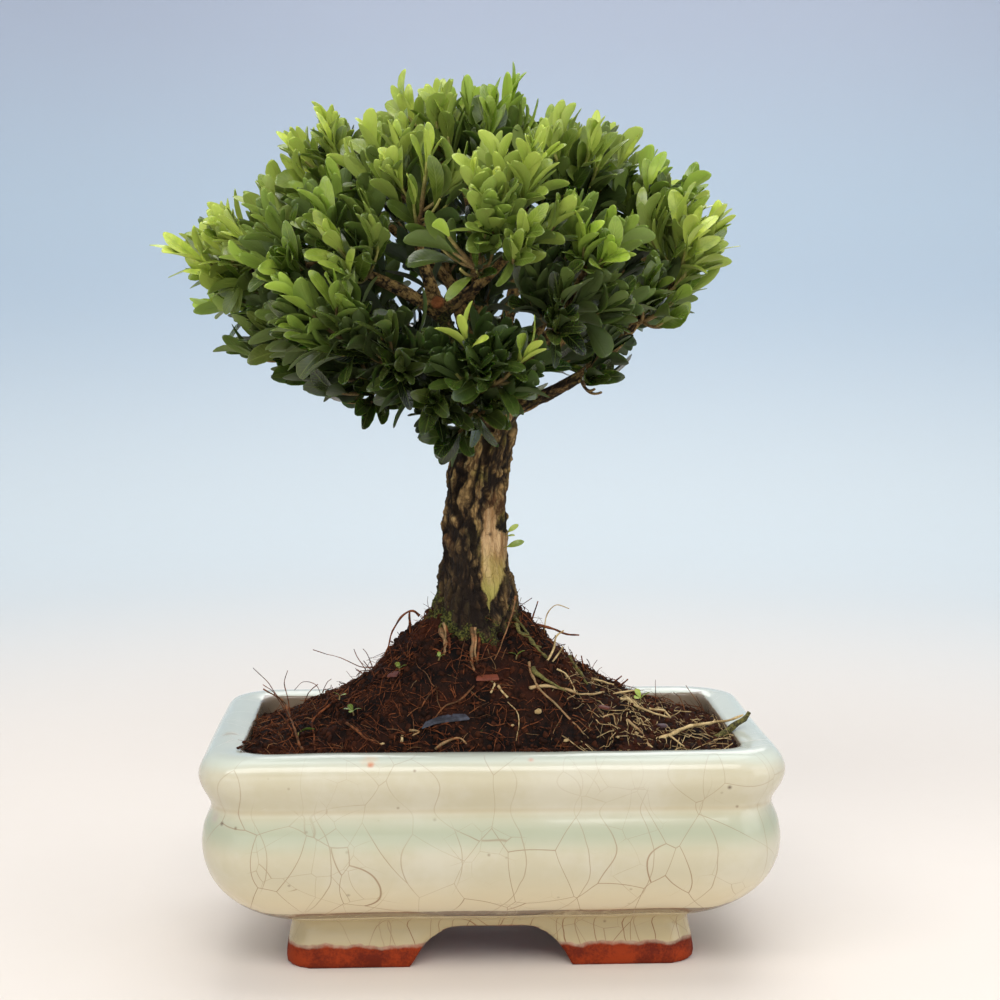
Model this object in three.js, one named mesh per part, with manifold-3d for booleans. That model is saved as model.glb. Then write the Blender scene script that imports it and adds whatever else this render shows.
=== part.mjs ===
// A small Harland boxwood bonsai in a glazed rectangular pot. Millimetres, +Z up, standing on z = 0.
import * as THREE from 'three';
import { mergeVertices } from 'three/addons/utils/BufferGeometryUtils.js';
import Module from 'manifold-3d';

const wasm = await Module();
wasm.setup();

// Driving dimensions of the pot
const POT_WIDTH = 175;
const POT_DEPTH = 106;
const POT_HEIGHT = 71.1;
const RIM_TOP_WIDTH = 12.5;
const CORNER_RADIUS = 14;
const NECK_HEIGHT = 54.3;
const NECK_INSET = 3.9;
const BELLY_HEIGHT = 41.8;
const BELLY_INSET = 0.3;
const FOOT_INSET = 25.2;
const FOOT_HEIGHT = 14.6;
const FOOT_CORNER_RADIUS = 9;
const ARCH_HEIGHT = 12;
const ARCH_WIDTH_AT_FLOOR = 46;
const ARCH_WIDTH_AT_TOP = 28;
const SIDE_ARCH_WIDTH_AT_FLOOR = 20;
const SIDE_ARCH_WIDTH_AT_TOP = 13;
const FLOOR_TOP = 20;
const WALL = 9;
const DRAIN_HOLE_RADIUS = 6.5;
const DRAIN_HOLE_OFFSET = 36;
const CORNER_STEPS = 4;
const BELLY_STEPS = 5;
const ARCH_STEPS = 5;
const DRAIN_HOLE_SIDES = 16;

// Profiles of the pot: inset from the plan, height, corner radius
const FOOT_PROFILE = [
  [FOOT_INSET + 2.2, 0, FOOT_CORNER_RADIUS - 1],
  [FOOT_INSET + 0.6, 2, FOOT_CORNER_RADIUS],
  [FOOT_INSET, 6, FOOT_CORNER_RADIUS],
  [FOOT_INSET - 0.4, FOOT_HEIGHT - 0.6, FOOT_CORNER_RADIUS],
];
const SHOULDER_PROFILE = [
  [1.2, 48.2, CORNER_RADIUS + 3],
  [3.1, 53, CORNER_RADIUS + 1],
  [NECK_INSET, NECK_HEIGHT, CORNER_RADIUS],
];
const RIM_PROFILE = [
  [NECK_INSET - 0.4, 55.6, CORNER_RADIUS],
  [1.1, 57.4, CORNER_RADIUS],
  [0.2, 61, CORNER_RADIUS],
  [0, 64.6, CORNER_RADIUS],
  [0.9, 68, CORNER_RADIUS],
  [3, 70.4, CORNER_RADIUS],
  [5.6, POT_HEIGHT, CORNER_RADIUS],
  [RIM_TOP_WIDTH, POT_HEIGHT - 0.7, CORNER_RADIUS - 5],
];
const INSIDE_PROFILE = [
  [WALL + 15, FLOOR_TOP, 8],
  [WALL + 6, FLOOR_TOP + 6, 9],
  [WALL, BELLY_HEIGHT, 10],
  [WALL + 2, NECK_HEIGHT, 9],
  [RIM_TOP_WIDTH, 65, 9],
];

// Fit between pieces that touch
const GAP = 0.3;

// Drain screens
const SCREEN_SIDE = 24;
const SCREEN_THICKNESS = 1.2;
const SCREEN_BARS = 4;
const SCREEN_BAR_WIDTH = 1.6;

// Soil
const SOIL_LEVEL = 68;
const MOUND_RISE = 45;
const MOUND_REACH = 29;
const MOUND_STEEPNESS = 2.2;
const MOUND_NARROWNESS = 1.1;
const MOUND_CENTRE = new THREE.Vector2(-4, 6);
const BACK_CORNER_DROP = 7;
const BACK_CORNER_START = 0.45;
const SOIL_ROUGHNESS = 0.9;
const SOIL_RAYS = 26;
const SOIL_RINGS = [1, 0.86, 0.7, 0.55, 0.42, 0.3, 0.18];
const SOIL_UNDER_RIM = 62;
const RAY_HALVINGS = 30;

// Trunk: height, centre x, centre y, radius
const TRUNK = [
  [62, -4, 1, 9.5],
  [92, -4, 1, 13.4],
  [100, -4, 1, 14.4],
  [107, -4, 0.5, 13.6],
  [116, -4.4, 0, 12.0],
  [127, -4.6, 0, 10.9],
  [138, -4, 0, 10.6],
  [149, -3, 0, 10.5],
  [159, -1.4, 0, 10.2],
  [167, 0, 0, 9.8],
  [174, 1, 0, 8.2],
  [179, 1, 0, 5.2],
];
const TRUNK_SIDES = 16;
const BRANCH_SIDES = 5;

// Main branches: a route chosen by hand, with the radius at its root and at its end
const BRANCHES = [
  {
    route: [[0, -2, 166], [12, -5, 172], [24, -9, 178], [37, -12, 188], [48, -10, 200], [58, -7, 211]],
    thick: [3.4, 1.5],
  },
  {
    route: [[-2, 0, 166], [-18, -3, 175], [-32, -4, 178], [-48, -2, 182], [-62, -2, 189]],
    thick: [4.4, 1.4],
  },
  { route: [[-32, -4, 178], [-40, -7, 176], [-45, -8, 174]], thick: [2.2, 1.7] },
  {
    route: [[-2, -3, 168], [-8, -12, 182], [-15, -20, 200], [-20, -22, 214], [-24, -23, 232]],
    thick: [5, 1.6],
  },
  { route: [[-15, -20, 200], [-28, -24, 207], [-42, -24, 213], [-58, -18, 216]], thick: [3.2, 1.4] },
  { route: [[-15, -20, 200], [-5, -28, 207], [4, -36, 216], [8, -40, 224]], thick: [2.8, 1.4] },
  { route: [[-3, 2, 168], [-22, 6, 184], [-42, 8, 198], [-62, 4, 208], [-70, 2, 213]], thick: [4, 1.4] },
  { route: [[0, 1, 172], [-1, 3, 192], [-4, 2, 216], [-7, 1, 242]], thick: [5, 1.5] },
  { route: [[-1, 3, 196], [-16, 6, 214], [-32, 4, 228], [-42, 0, 238]], thick: [3, 1.4] },
  { route: [[1, 2, 170], [14, 2, 192], [24, 2, 214], [30, 2, 234]], thick: [4, 1.5] },
  { route: [[2, 2, 170], [20, 8, 188], [38, 10, 206], [50, 8, 222]], thick: [3.6, 1.5] },
  { route: [[2, -4, 168], [12, -18, 186], [20, -28, 198], [26, -32, 210]], thick: [3.4, 1.4] },
  { route: [[-1, -6, 167], [-5, -20, 174], [-3, -32, 178]], thick: [2.8, 1.6] },
  { route: [[-3, -5, 168], [-16, -18, 176], [-30, -28, 184], [-42, -28, 192]], thick: [3, 1.4] },
  { route: [[-2, 4, 168], [-18, 20, 184], [-36, 32, 198], [-50, 32, 210]], thick: [3.6, 1.4] },
  { route: [[0, 5, 170], [-6, 24, 192], [-12, 36, 212], [-14, 38, 230]], thick: [3.8, 1.4] },
  { route: [[2, 4, 168], [14, 24, 182], [28, 36, 194], [38, 36, 206]], thick: [3.6, 1.4] },
  { route: [[1, 4, 176], [8, 16, 204], [12, 24, 224], [14, 28, 240]], thick: [3.4, 1.4] },
  { route: [[-1, 6, 167], [-8, 24, 176], [-10, 38, 184]], thick: [3, 1.5] },
];
// The branch that was cut back to a stub bears no sprays.
const CUT_STUB = 2;

// Leafy sprays: the tip of each main twig. Old sprays are dark, young ones light.
const SPRAYS = [
  { name: 'far_left', tip: [-90, -8, 216], young: 0.8 },
  { name: 'left_low', tip: [-82, 8, 202], young: 0.4 },
  { name: 'lower_left', tip: [-70, -6, 192], young: 0.2 },
  { name: 'bottom_left', tip: [-58, 6, 180], young: 0.3 },
  { name: 'left_bright', tip: [-77, -2, 226], young: 0.9 },
  { name: 'left_inner', tip: [-68, -28, 213], young: 0.4 },
  { name: 'left_crown', tip: [-56, -6, 246], young: 1 },
  { name: 'left_front', tip: [-45, -41, 219], young: 0.9 },
  { name: 'upper_left', tip: [-34, -26, 248], young: 0.8 },
  { name: 'tall_leaf', tip: [-25, -8, 260], young: 0.8 },
  { name: 'top_middle', tip: [-12, 12, 262], young: 0.7 },
  { name: 'top_front', tip: [-19, -37, 243], young: 0.9 },
  { name: 'top_right', tip: [6, -2, 264], young: 0.6 },
  { name: 'front_middle', tip: [-13, -51, 221], young: 0.7 },
  { name: 'front_high', tip: [2, -43, 240], young: 0.8 },
  { name: 'front_bright', tip: [8, -54, 221], young: 1 },
  { name: 'yellow_top', tip: [19, -16, 248], young: 1 },
  { name: 'right_pair', tip: [36, 8, 250], young: 0.8 },
  { name: 'right_round', tip: [50, -4, 238], young: 0.7 },
  { name: 'right_crown', tip: [57, -16, 227], young: 0.9 },
  { name: 'right_crown_back', tip: [64, 10, 230], young: 0.9 },
  { name: 'far_right', tip: [67, -5, 217], young: 0.8 },
  { name: 'right_pale', tip: [55, -20, 203], young: 0.5 },
  { name: 'right_upright', tip: [40, -28, 202], young: 0.3 },
  { name: 'right_low', tip: [38, -18, 180], young: 0.1 },
  { name: 'bright_low', tip: [-8, -46, 192], young: 0.9 },
  { name: 'bright_low_right', tip: [9, -44, 187], young: 0.8 },
  { name: 'dark_fan', tip: [-17, -36, 174], young: 0 },
  { name: 'hanging', tip: [-10, -24, 164], young: 0 },
  { name: 'dark_middle', tip: [20, -47, 206], young: 0 },
  { name: 'right_middle', tip: [32, -40, 222], young: 0.6 },
  { name: 'left_wood', tip: [-60, -22, 196], young: 0.2 },
  { name: 'left_under', tip: [-46, -20, 176], young: 0.1 },
  { name: 'front_left_low', tip: [-30, -46, 193], young: 0.1 },
  { name: 'front_left', tip: [-56, -40, 203], young: 0.4 },
  { name: 'crown_left', tip: [-45, -28, 234], young: 0.7 },
  { name: 'back_far_left', tip: [-76, 22, 216], young: 0.6 },
  { name: 'back_left_low', tip: [-62, 36, 202], young: 0.2 },
  { name: 'back_left_crown', tip: [-62, 20, 236], young: 0.8 },
  { name: 'back_left', tip: [-42, 50, 216], young: 0.5 },
  { name: 'back_left_top', tip: [-42, 28, 248], young: 0.8 },
  { name: 'back_middle', tip: [-22, 54, 234], young: 0.7 },
  { name: 'back_top', tip: [-16, 28, 259], young: 0.8 },
  { name: 'back_centre', tip: [-2, 56, 215], young: 0.5 },
  { name: 'back_high', tip: [4, 48, 244], young: 0.7 },
  { name: 'back_top_right', tip: [20, 28, 257], young: 0.8 },
  { name: 'back_right', tip: [25, 54, 222], young: 0.6 },
  { name: 'back_right_crown', tip: [38, 34, 242], young: 0.8 },
  { name: 'back_right_low', tip: [48, 44, 208], young: 0.3 },
  { name: 'back_far_right', tip: [60, 30, 220], young: 0.7 },
  { name: 'back_low_left', tip: [-28, 46, 190], young: 0.1 },
  { name: 'back_low', tip: [4, 50, 188], young: 0 },
  { name: 'back_low_right', tip: [34, 40, 186], young: 0.1 },
  { name: 'side_low_left', tip: [-50, 26, 188], young: 0.2 },
  { name: 'side_low_right', tip: [50, 20, 196], young: 0.3 },
];

// Choice of the place that a twig springs from
const BRANCH_PLACES = 16;
const FIRST_BRANCH_PLACE = 5;
const REACH_COST = 1.7;
const LEAN_GAIN = 0.7;
const CROWDED_WITHIN = 6;
const CROWDING_COST = 8;
const SHORTEST_TWIG = 14;
const SHORT_TWIG_COST = 3;

// Growth rule of a spray
const TWIG_RADIUS = [1.0, 0.75];
const SIDE_TWIG_RADIUS = [0.8, 0.65];
const TWIG_SAG = 0.14;
const FIRST_PAIR = 1.2;
const INTERNODE = 6.4;
const NODE_HEIGHT = 1.4;
const PAIRS_ON_TWIG = 3;
const PAIRS_ON_SIDE = 2;
const SIDE_SHOOTS = 2;
const LEAST_LEAVES_ON_SIDE = 3;
const LOWEST_NODE = 0.12;
const LOWEST_SIDE_SHOOT = 0.15;
const SIDE_SHOOT_FROM_TIP = 15;
const SIDE_SHOOT_LENGTH = [10, 15];
const SIDE_SHOOT_SPREAD = 48;
const SIDE_SHOOT_TURN = 0.5;
const SIDE_SHOOT_RISE = 0.4;
const LEAF_LENGTH = [12.5, 16.5];
const LEAF_SLENDERNESS = [0.42, 0.54];
const LEAF_THICKNESS = 0.9;
const LEAF_WIDEST_AT = 0.62;
const LEAF_TIP_SHARE = 0.42;
const LEAF_SPREAD_AT_TIP = 26;
const LEAF_SPREAD_PER_PAIR = 12;
const LEAF_SPREAD_DRAW = 8;
const LEAF_TURN_DRAW = 0.25;
const TIP_LEAF_SHARE = 0.88;
const LEAF_BEND = [-0.06, 0.1];
const LEAF_LIFT = 0.14;
const LEAF_FACES_UP = 0.5;

const UP = new THREE.Vector3(0, 0, 1);
const radians = THREE.MathUtils.degToRad;
const lerp = THREE.MathUtils.lerp;

// Solids and meshes

function solidOf(geometry) {
  const bare = geometry.clone();
  bare.deleteAttribute('normal');
  bare.deleteAttribute('uv');
  const merged = mergeVertices(bare, 1e-4);
  const mesh = new wasm.Mesh({
    numProp: 3,
    vertProperties: new Float32Array(merged.attributes.position.array),
    triVerts: new Uint32Array(merged.index.array),
  });
  return new wasm.Manifold(mesh);
}

function geometryOf(solid) {
  const mesh = solid.getMesh();
  const geometry = new THREE.BufferGeometry();
  geometry.setAttribute('position', new THREE.BufferAttribute(new Float32Array(mesh.vertProperties), 3));
  geometry.setIndex(new THREE.BufferAttribute(new Uint32Array(mesh.triVerts), 1));
  geometry.computeVertexNormals();
  return geometry;
}

function joinAll(solids) {
  return solids.reduce((whole, piece) => whole.add(piece));
}

// The largest body, which leaves out loose scraps and fills any hollow that joining sealed.
function oneBody(solid) {
  return solid.decompose().reduce((best, piece) => (piece.volume() > best.volume() ? piece : best));
}

function facetedGeometry(points, triangles) {
  const geometry = new THREE.BufferGeometry();
  geometry.setAttribute('position', new THREE.Float32BufferAttribute(points.flat(), 3));
  geometry.setIndex(triangles.flat());
  return geometry;
}

// Closed skin over rings of points that run counter-clockwise, from the first ring to the last.
function loft(rings) {
  const count = rings[0].length;
  const triangles = [];
  for (let level = 0; level < rings.length - 1; level += 1) {
    for (let i = 0; i < count; i += 1) {
      const a = level * count + i;
      const b = level * count + ((i + 1) % count);
      triangles.push([a, b, b + count], [a, b + count, a + count]);
    }
  }
  const top = (rings.length - 1) * count;
  for (let i = 1; i < count - 1; i += 1) {
    triangles.push([0, i + 1, i], [top, top + i, top + i + 1]);
  }
  return facetedGeometry(rings.flat(), triangles);
}

// Rounded rectangle at one height, counter-clockwise from above.
function roundedRing(halfWidth, halfDepth, radius, z) {
  const corners = [[1, 1, 0], [-1, 1, 90], [-1, -1, 180], [1, -1, 270]];
  const ring = [];
  for (const [sx, sy, start] of corners) {
    for (let i = 0; i <= CORNER_STEPS; i += 1) {
      const angle = radians(start + (90 * i) / CORNER_STEPS);
      ring.push([
        sx * (halfWidth - radius) + radius * Math.cos(angle),
        sy * (halfDepth - radius) + radius * Math.sin(angle),
        z,
      ]);
    }
  }
  return ring;
}

// Pot

const HALF_WIDTH = POT_WIDTH / 2;
const HALF_DEPTH = POT_DEPTH / 2;

function potRing(inset, z, radius) {
  return roundedRing(HALF_WIDTH - inset, HALF_DEPTH - inset, radius, z);
}

function bellyRings() {
  const rings = [];
  const lowInset = FOOT_INSET - 1;
  for (let i = 0; i <= BELLY_STEPS; i += 1) {
    const angle = radians((90 * i) / BELLY_STEPS);
    const inset = lowInset - (lowInset - BELLY_INSET) * Math.sin(angle);
    const z = BELLY_HEIGHT - (BELLY_HEIGHT - FOOT_HEIGHT) * Math.cos(angle);
    const radius = lerp(FOOT_CORNER_RADIUS, CORNER_RADIUS + 4, i / BELLY_STEPS);
    rings.push(potRing(inset, z, radius));
  }
  return rings;
}

function profileRings(profile) {
  return profile.map(([inset, z, radius]) => potRing(inset, z, radius));
}

function potOutside() {
  return loft([
    ...profileRings(FOOT_PROFILE),
    ...bellyRings(),
    ...profileRings(SHOULDER_PROFILE),
    ...profileRings(RIM_PROFILE),
  ]);
}

// The hollow of the pot, from its floor up to above the rim.
function potInside() {
  const [inset, , radius] = INSIDE_PROFILE.at(-1);
  return loft([...profileRings(INSIDE_PROFILE), potRing(inset, POT_HEIGHT + 5, radius)]);
}

// Arch profile with soft flanks, as wide at the floor and at its top as given.
function archShape(widthAtFloor, widthAtTop) {
  const shape = new THREE.Shape();
  const low = widthAtFloor / 2;
  const high = widthAtTop / 2;
  const below = -1;
  shape.moveTo(-low, below);
  shape.lineTo(low, below);
  shape.bezierCurveTo(low - 1.5, ARCH_HEIGHT * 0.55, high + 3, ARCH_HEIGHT * 0.6, high, ARCH_HEIGHT);
  shape.lineTo(-high, ARCH_HEIGHT);
  shape.bezierCurveTo(-high - 3, ARCH_HEIGHT * 0.6, -low + 1.5, ARCH_HEIGHT * 0.55, -low, below);
  return shape;
}

function archCutter(widthAtFloor, widthAtTop, length) {
  const geometry = new THREE.ExtrudeGeometry(archShape(widthAtFloor, widthAtTop), {
    depth: length,
    bevelEnabled: false,
    curveSegments: ARCH_STEPS,
  });
  geometry.translate(0, 0, -length / 2);
  geometry.rotateX(Math.PI / 2);
  return geometry;
}

function drainHole(side) {
  const hole = new THREE.CylinderGeometry(DRAIN_HOLE_RADIUS, DRAIN_HOLE_RADIUS, FLOOR_TOP, DRAIN_HOLE_SIDES);
  hole.rotateX(Math.PI / 2);
  hole.translate(side * DRAIN_HOLE_OFFSET, 0, FLOOR_TOP / 2 + 4);
  return solidOf(hole);
}

function makePot() {
  const frontArch = archCutter(ARCH_WIDTH_AT_FLOOR, ARCH_WIDTH_AT_TOP, POT_DEPTH);
  const sideArch = archCutter(SIDE_ARCH_WIDTH_AT_FLOOR, SIDE_ARCH_WIDTH_AT_TOP, POT_WIDTH);
  sideArch.rotateZ(Math.PI / 2);
  return solidOf(potOutside())
    .subtract(solidOf(potInside()))
    .subtract(solidOf(frontArch))
    .subtract(solidOf(sideArch))
    .subtract(drainHole(-1))
    .subtract(drainHole(1));
}

// Drain screens

function makeScreen(side) {
  const low = FLOOR_TOP + GAP;
  const plate = new THREE.BoxGeometry(SCREEN_SIDE, SCREEN_SIDE, SCREEN_THICKNESS);
  plate.translate(side * DRAIN_HOLE_OFFSET, 0, low + SCREEN_THICKNESS / 2);
  const pitch = (SCREEN_SIDE - SCREEN_BAR_WIDTH) / (SCREEN_BARS - 1);
  const opening = pitch - SCREEN_BAR_WIDTH;
  let screen = solidOf(plate);
  for (let column = 0; column < SCREEN_BARS - 1; column += 1) {
    for (let row = 0; row < SCREEN_BARS - 1; row += 1) {
      const hole = new THREE.BoxGeometry(opening, opening, SCREEN_THICKNESS * 3);
      hole.translate(
        side * DRAIN_HOLE_OFFSET + (column - (SCREEN_BARS - 2) / 2) * pitch,
        (row - (SCREEN_BARS - 2) / 2) * pitch,
        low,
      );
      screen = screen.subtract(solidOf(hole));
    }
  }
  return screen;
}

function screenRecess(side) {
  const width = SCREEN_SIDE + 2 * GAP;
  const height = SCREEN_THICKNESS + 2 * GAP;
  const recess = new THREE.BoxGeometry(width, width, height);
  recess.translate(side * DRAIN_HOLE_OFFSET, 0, FLOOR_TOP + height / 2);
  return solidOf(recess);
}

// Soil

function soilHeight(x, y) {
  const distance = Math.hypot(x - MOUND_CENTRE.x, (y - MOUND_CENTRE.y) * MOUND_NARROWNESS);
  const mound = MOUND_RISE / (1 + (distance / MOUND_REACH) ** MOUND_STEEPNESS);
  const innerHalfWidth = HALF_WIDTH - RIM_TOP_WIDTH;
  const innerHalfDepth = HALF_DEPTH - RIM_TOP_WIDTH;
  const edge = ((x / innerHalfWidth) ** 4 + (y / innerHalfDepth) ** 4) ** 0.25;
  const fall = 1 - Math.min(1, edge) ** 4;
  const sideways = Math.abs(x) / innerHalfWidth;
  const backCorner = Math.max(0, y / innerHalfDepth) * Math.max(0, sideways - BACK_CORNER_START);
  const lumps = Math.sin(x * 0.31 + 1) * Math.cos(y * 0.37) + 0.6 * Math.sin(x * 0.13 - y * 0.21);
  return SOIL_LEVEL + mound * fall - BACK_CORNER_DROP * backCorner + SOIL_ROUGHNESS * lumps;
}

// Where a ray from the mound's centre meets the rounded outline of the pot's inside.
function rayToWall(angle, inset, radius) {
  const halfWidth = HALF_WIDTH - inset;
  const halfDepth = HALF_DEPTH - inset;
  const direction = new THREE.Vector2(Math.cos(angle), Math.sin(angle));
  const beyond = (distance) => {
    const x = Math.abs(MOUND_CENTRE.x + direction.x * distance) - (halfWidth - radius);
    const y = Math.abs(MOUND_CENTRE.y + direction.y * distance) - (halfDepth - radius);
    return Math.hypot(Math.max(x, 0), Math.max(y, 0)) + Math.min(Math.max(x, y), 0) - radius;
  };
  let near = 0;
  let far = POT_WIDTH;
  for (let halving = 0; halving < RAY_HALVINGS; halving += 1) {
    const half = (near + far) / 2;
    if (beyond(half) > 0) far = half;
    else near = half;
  }
  return MOUND_CENTRE.clone().addScaledVector(direction, near);
}

function soilRing(share, inset, radius, z) {
  const ring = [];
  for (let i = 0; i < SOIL_RAYS; i += 1) {
    const angle = (2 * Math.PI * i) / SOIL_RAYS;
    const wall = rayToWall(angle, inset, radius);
    const x = lerp(MOUND_CENTRE.x, wall.x, share);
    const y = lerp(MOUND_CENTRE.y, wall.y, share);
    ring.push([x, y, z ?? soilHeight(x, y)]);
  }
  return ring;
}

function makeSoil() {
  const [floorLevel, heelLevel, ...wallLevels] = INSIDE_PROFILE.slice(0, -1);
  const [topInset, , topRadius] = INSIDE_PROFILE.at(-1);
  const low = [floorLevel, heelLevel].map(([inset, z, radius]) => soilRing(1, inset + GAP, radius, z + GAP));
  const walls = wallLevels.map(([inset, z, radius]) => soilRing(1, inset + GAP, radius, z));
  const underRim = soilRing(1, topInset + GAP, topRadius, SOIL_UNDER_RIM);
  const top = SOIL_RINGS.map((share) => soilRing(share, topInset + GAP, topRadius));
  return solidOf(loft([...low, ...walls, underRim, ...top]))
    .subtract(screenRecess(-1))
    .subtract(screenRecess(1))
    .subtract(solidOf(trunkGeometry(GAP)));
}

// Trunk and branches

// Corky ridges that wind a little round the trunk, as a share of its radius.
function ridges(angle, z) {
  const broad = 0.07 * Math.cos(3 * angle + z * 0.05);
  const middling = 0.06 * Math.cos(5 * angle - z * 0.09 + 1);
  const fine = 0.035 * Math.cos(7 * angle + z * 0.2);
  return broad + middling + fine;
}

function trunkGeometry(extra) {
  const rings = TRUNK.map(([z, x, y, radius], level) => {
    const ring = [];
    const height = level === 0 ? z - extra : z;
    for (let i = 0; i < TRUNK_SIDES; i += 1) {
      const angle = (2 * Math.PI * i) / TRUNK_SIDES;
      const reach = radius * (1 + (level === 0 ? 0 : ridges(angle, z))) + extra;
      ring.push([x + reach * Math.cos(angle), y + reach * Math.sin(angle), height]);
    }
    return ring;
  });
  return loft(rings);
}

// Tapered tube along a curve, with its rings turned as little as possible from one to the next.
function tube(curve, radii, sides, steps) {
  const frames = curve.computeFrenetFrames(steps, false);
  const rings = [];
  for (let step = 0; step <= steps; step += 1) {
    const centre = curve.getPointAt(step / steps);
    const radius = lerp(radii[0], radii[1], step / steps);
    const ring = [];
    for (let i = 0; i < sides; i += 1) {
      const angle = (2 * Math.PI * i) / sides;
      const point = centre.clone()
        .addScaledVector(frames.normals[step], radius * Math.cos(angle))
        .addScaledVector(frames.binormals[step], radius * Math.sin(angle));
      ring.push(point.toArray());
    }
    rings.push(ring);
  }
  return loft(rings);
}

function branchCurve(branch) {
  return new THREE.CatmullRomCurve3(branch.route.map((point) => new THREE.Vector3(...point)));
}

function branchSolid(branch, extra) {
  const radii = branch.thick.map((radius) => radius + extra);
  return solidOf(tube(branchCurve(branch), radii, BRANCH_SIDES, branch.route.length));
}

function wood(extra) {
  return joinAll([solidOf(trunkGeometry(extra)), ...BRANCHES.map((branch) => branchSolid(branch, extra))]);
}

// Leafy sprays

// Park and Miller's draw: the same seed gives the same numbers in any language.
function makeDraw(seed) {
  let state = (seed * 7919 + 12345) % 2147483647;
  const next = () => {
    state = (state * 16807) % 2147483647;
    return state / 2147483647;
  };
  next();
  next();
  return (low, high) => lerp(low, high, next());
}

// Places on the branches where a twig may spring, each with the branch's direction there.
function twigPlaces() {
  const places = [];
  BRANCHES.forEach((branch, index) => {
    if (index === CUT_STUB) return;
    const curve = branchCurve(branch);
    for (let step = FIRST_BRANCH_PLACE; step <= BRANCH_PLACES; step += 1) {
      const t = step / BRANCH_PLACES;
      places.push({ point: curve.getPoint(t), direction: curve.getTangent(t) });
    }
  });
  return places;
}

// A twig springs from the place that is near its tip, leans its way, and is not yet crowded.
function chooseRoot(tip, places, taken) {
  let best = null;
  let bestCost = Infinity;
  for (const place of places) {
    const reach = tip.clone().sub(place.point);
    const length = reach.length();
    const lean = reach.normalize().dot(place.direction);
    const nearest = Math.min(...taken.map((other) => other.distanceTo(place.point)), CROWDED_WITHIN);
    const crowding = (CROWDED_WITHIN - nearest) * CROWDING_COST;
    const tooShort = Math.max(0, SHORTEST_TWIG - length) * SHORT_TWIG_COST;
    const cost = length * (REACH_COST - LEAN_GAIN * lean) + crowding + tooShort;
    if (cost < bestCost) {
      bestCost = cost;
      best = place.point;
    }
  }
  return best;
}

// Frame on a shoot: along it, across it and over it. The reference keeps the frame from turning.
function frameAt(curve, t, reference) {
  const along = curve.getTangent(t);
  const across = reference.clone().addScaledVector(along, -reference.dot(along)).normalize();
  const over = new THREE.Vector3().crossVectors(along, across);
  return { point: curve.getPoint(t), along, across, over };
}

function referenceOf(start, end) {
  const across = end.clone().sub(start).normalize().cross(UP);
  return across.length() < 0.2 ? new THREE.Vector3(1, 0, 0) : across.normalize();
}

function turned(frame, turn) {
  return frame.across.clone().multiplyScalar(Math.cos(turn)).addScaledVector(frame.over, Math.sin(turn));
}

function leaning(frame, spread, turn) {
  const sideways = turned(frame, turn).multiplyScalar(Math.sin(spread));
  return frame.along.clone().multiplyScalar(Math.cos(spread)).add(sideways);
}

function growLeaf(frame, pair, turn, draw) {
  const spreadDraw = draw(-LEAF_SPREAD_DRAW, LEAF_SPREAD_DRAW);
  const spread = radians(LEAF_SPREAD_AT_TIP + LEAF_SPREAD_PER_PAIR * pair + spreadDraw);
  const direction = leaning(frame, spread, turn + draw(-LEAF_TURN_DRAW, LEAF_TURN_DRAW));
  direction.z += LEAF_LIFT;
  direction.normalize();
  const length = draw(...LEAF_LENGTH) * (pair === 0 ? TIP_LEAF_SHARE : 1);
  const width = length * draw(...LEAF_SLENDERNESS);
  const face = frame.along.clone().addScaledVector(UP, LEAF_FACES_UP);
  face.addScaledVector(direction, -face.dot(direction)).normalize();
  return { root: frame.point, direction, face, length, width, bend: draw(...LEAF_BEND) };
}

// A shoot has opposite pairs of leaves from its tip backwards, each pair a quarter turn from the last.
function growShoot(start, bend, end, radii, pairs, draw) {
  const curve = new THREE.QuadraticBezierCurve3(start, bend, end);
  const reference = referenceOf(start, end);
  const length = start.distanceTo(end);
  const firstTurn = draw(0, Math.PI / 2);
  const nodes = [];
  for (let pair = 0; pair < pairs; pair += 1) {
    const t = 1 - (FIRST_PAIR + pair * INTERNODE) / length;
    if (t < LOWEST_NODE) break;
    const frame = frameAt(curve, t, reference);
    const leaves = [0, 1].map((side) => {
      const turn = firstTurn + (Math.PI / 2) * (pair % 2) + Math.PI * side;
      return growLeaf(frame, pair, turn, draw);
    });
    nodes.push({ t, pair, leaves });
  }
  return { curve, reference, length, radii, firstTurn, nodes };
}

function growSpray(spray, index, root) {
  const tip = new THREE.Vector3(...spray.tip);
  const reach = root.distanceTo(tip);
  const middle = root.clone().lerp(tip, 0.5);
  middle.z -= TWIG_SAG * reach;
  const main = growShoot(root, middle, tip, TWIG_RADIUS, PAIRS_ON_TWIG, makeDraw(100 * index + 1));
  const shoots = [main];
  for (let number = 0; number < SIDE_SHOOTS; number += 1) {
    const draw = makeDraw(100 * index + 2 + number);
    const back = SIDE_SHOOT_FROM_TIP + INTERNODE * Math.floor(number / 2);
    const frame = frameAt(main.curve, Math.max(LOWEST_SIDE_SHOOT, 1 - back / reach), main.reference);
    const evenTurn = Math.PI * (number % 2) + (Math.PI / 2) * Math.floor(number / 2);
    const turn = evenTurn + draw(-SIDE_SHOOT_TURN, SIDE_SHOOT_TURN);
    const direction = leaning(frame, radians(SIDE_SHOOT_SPREAD), turn);
    const length = draw(...SIDE_SHOOT_LENGTH);
    const bend = frame.point.clone().addScaledVector(direction, length / 2);
    const rise = direction.clone().addScaledVector(UP, SIDE_SHOOT_RISE).normalize();
    const end = bend.clone().addScaledVector(rise, length / 2);
    shoots.push(growShoot(frame.point, bend, end, SIDE_TWIG_RADIUS, PAIRS_ON_SIDE, draw));
  }
  return shoots;
}

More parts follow.
